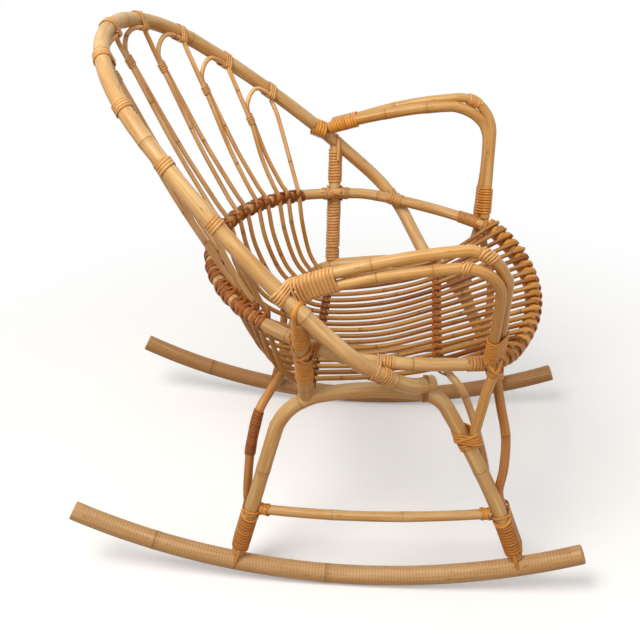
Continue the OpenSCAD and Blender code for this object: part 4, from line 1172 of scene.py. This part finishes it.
# Hoop and ring where they meet: turns on each and turns round both, and a longer winding by the arm's foot
meet = {"atY": -40, "near": 8, "far": 22, "hoop": 12.1, "ring": 10.1, "onHoop": 11.9, "onRing": 9.9,
        "both": {"turns": 2.6, "pitch": 4.2, "width": 3.6, "thick": 1.7, "slant": 2.0, "tone": 0.1},
        "each": {"pitch": 4.2, "width": 3.8, "thick": 1.7, "tone": 0.0},
        "byArm": {"pitch": 5.0, "width": 4.6, "thick": 2.0, "tone": 0.4},
        "armY": -190, "armBefore": 17, "armAfter": 24}
hs, rs = reachWhere(hoopLeft, 1, meet["atY"]), reachWhere(ringOpen, 1, meet["atY"])
circles = [(pointAt(hoopLeft, hs), meet["hoop"]), (pointAt(ringOpen, rs), meet["ring"])]
byArm = reachWhere(ringOpen, 1, meet["armY"])
strands = [windAlong(ringOpen, meet["onRing"], byArm - meet["armBefore"], byArm + meet["armAfter"],
                     **meet["byArm"]),
           windPair(circles, dirAt(hoopLeft, hs) - dirAt(ringOpen, rs), **meet["both"]),
           windAlong(hoopLeft, meet["onHoop"], hs + meet["near"], hs + meet["far"], **meet["each"]),
           windAlong(ringOpen, meet["onRing"], rs - meet["far"], rs - meet["near"], **meet["each"])]
makePiece("hoopRingTieCane", strands + sided(strands), stripSides, ["hoop_ring_ties"],
          skins["pale"])

# Hoop ends: a few thin strands down onto the arch
hoopEnd = {"hoopY": -113, "archY": -111,
           "cane": {"turns": 2.2, "pitch": 3.4, "width": 2.6, "thick": 1.6, "slant": 1.5, "tone": 0.6}}
strands = []
for turn, tail, leg in ((sided, hoopLeft, foreHalf), (list, smooth(hoop["tailLeft"]), foreHalfLeft)):
    he, ae = reachWhere(tail, 1, hoopEnd["hoopY"]), reachWhere(leg, 1, hoopEnd["archY"])
    circles = [(pointAt(tail, he), hoop["round"]), (pointAt(leg, ae), hoop["round"])]
    strands += turn([windPair(circles, dirAt(tail, he) + dirAt(leg, ae), **hoopEnd["cane"])])
makePiece("hoopEndTieCane", strands, stripSides, ["hoop_end_ties"], skins["wrap"])
print("windings ready")

# Room: pale floor and open white surround
room = {"floor": 14, "fadeFrom": 0.5, "fadeTo": 1.3, "floorGlow": 0.22, "worldLight": 0.4, "worldSeen": 1.0,
        "floorLit": "#9a9691", "floorSeen": "#f4f3f1", "white": "#ffffff", "floorRough": 0.85}
lamps = {"skyLamp": {"place": (-1.3, 0.9, 2.9), "size": 1.5, "power": 62, "shade": "#fffaf2"},
         "fillLamp": {"place": (-2.4, -1.9, 1.6), "size": 2.0, "power": 20, "shade": "#f8f9ff"}}
lampAim = Vector((0, 0, 0.4))


# Rays that see the plain white room: the camera's own, mirrored and passed through
def seenRays(tree):
    ray = addNode(tree, "ShaderNodeLightPath")
    either = addNode(tree, "ShaderNodeMath", {"operation": "MAXIMUM", 0: ray.outputs["Is Camera Ray"],
                                              1: ray.outputs["Is Glossy Ray"]})
    return addNode(tree, "ShaderNodeMath", {"operation": "MAXIMUM", 0: either.outputs[0],
                                            1: ray.outputs["Is Transmission Ray"]}).outputs[0]


# The floor fades into the white surround well outside the shadow, and throws little light back up
bpy.ops.mesh.primitive_plane_add(size=room["floor"], location=(0, 0, 0))
floor = bpy.context.object
floor.name = "paleFloor"
paint = bpy.data.materials.new("paleFloorPaint")
paint.use_nodes = True
floor.data.materials.append(paint)
tree = paint.node_tree
shader = tree.nodes["Principled BSDF"]
shader.inputs["Roughness"].default_value = room["floorRough"]
spot = addNode(tree, "ShaderNodeTexCoord").outputs["Object"]
far = addNode(tree, "ShaderNodeVectorMath", {"operation": "LENGTH", 0: spot}).outputs["Value"]
fade = addNode(tree, "ShaderNodeMapRange", {"interpolation_type": "SMOOTHSTEP", "Value": far,
                                            "From Min": room["fadeFrom"], "From Max": room["fadeTo"],
                                            "To Min": 1.0, "To Max": 0.0})
tree.links.new(fade.outputs[0], shader.inputs["Alpha"])
seen = seenRays(tree)
shade = addNode(tree, "ShaderNodeMix", {"data_type": "RGBA", 0: seen, 6: toLinear(room["floorLit"]),
                                        7: toLinear(room["floorSeen"])})
tree.links.new(shade.outputs[2], shader.inputs["Base Color"])
shader.inputs["Emission Color"].default_value = toLinear(room["white"])
glow = addNode(tree, "ShaderNodeMath", {"operation": "MULTIPLY", 0: seen, 1: room["floorGlow"]})
tree.links.new(glow.outputs[0], shader.inputs["Emission Strength"])

world = bpy.data.worlds.new("softStudio")
bpy.context.scene.world = world
world.use_nodes = True
tree = world.node_tree
background = tree.nodes["Background"]
background.inputs["Color"].default_value = toLinear(room["white"])
strength = addNode(tree, "ShaderNodeMapRange", {"To Min": room["worldLight"], "To Max": room["worldSeen"],
                                                "Value": seenRays(tree)})
tree.links.new(strength.outputs[0], background.inputs["Strength"])

for name, light in lamps.items():
    bpy.ops.object.light_add(type="AREA", location=light["place"])
    lamp = bpy.context.object
    lamp.name = name
    lamp.data.shape = "DISK"
    lamp.data.size = light["size"]
    lamp.data.energy = light["power"]
    lamp.data.color = toLinear(light["shade"])[:3]
    lamp.rotation_euler = (lampAim - Vector(light["place"])).to_track_quat("-Z", "Y").to_euler()

# Camera at the photograph's viewing angle, focal length in pixels of a 640 px frame
view = {"place": (-1.48892, -0.09170, 1.26249), "pitch": 31.20, "roll": -1.65, "yaw": 6.26, "focal": 1012.74,
        "frame": 640, "sensor": 36, "near": 0.05, "far": 60}
pitch, roll, yaw = (math.radians(view[k]) for k in ("pitch", "roll", "yaw"))
ahead = Vector((math.cos(yaw), math.sin(yaw), 0))
right = Vector((math.sin(yaw), -math.cos(yaw), 0))
up = Vector((0, 0, 1))
looking = math.cos(pitch) * ahead - math.sin(pitch) * up
upward = math.sin(pitch) * ahead + math.cos(pitch) * up
rightTurned = math.cos(roll) * right + math.sin(roll) * upward
upTurned = -math.sin(roll) * right + math.cos(roll) * upward
bpy.ops.object.camera_add(location=view["place"])
camera = bpy.context.object
camera.rotation_euler = Matrix((rightTurned, upTurned, -looking)).transposed().to_euler()
camera.data.sensor_width = view["sensor"]
camera.data.lens = view["focal"] / view["frame"] * view["sensor"]
camera.data.clip_start, camera.data.clip_end = view["near"], view["far"]
bpy.context.scene.camera = camera
bpy.context.scene.view_settings.view_transform = "Standard"
print("room ready")
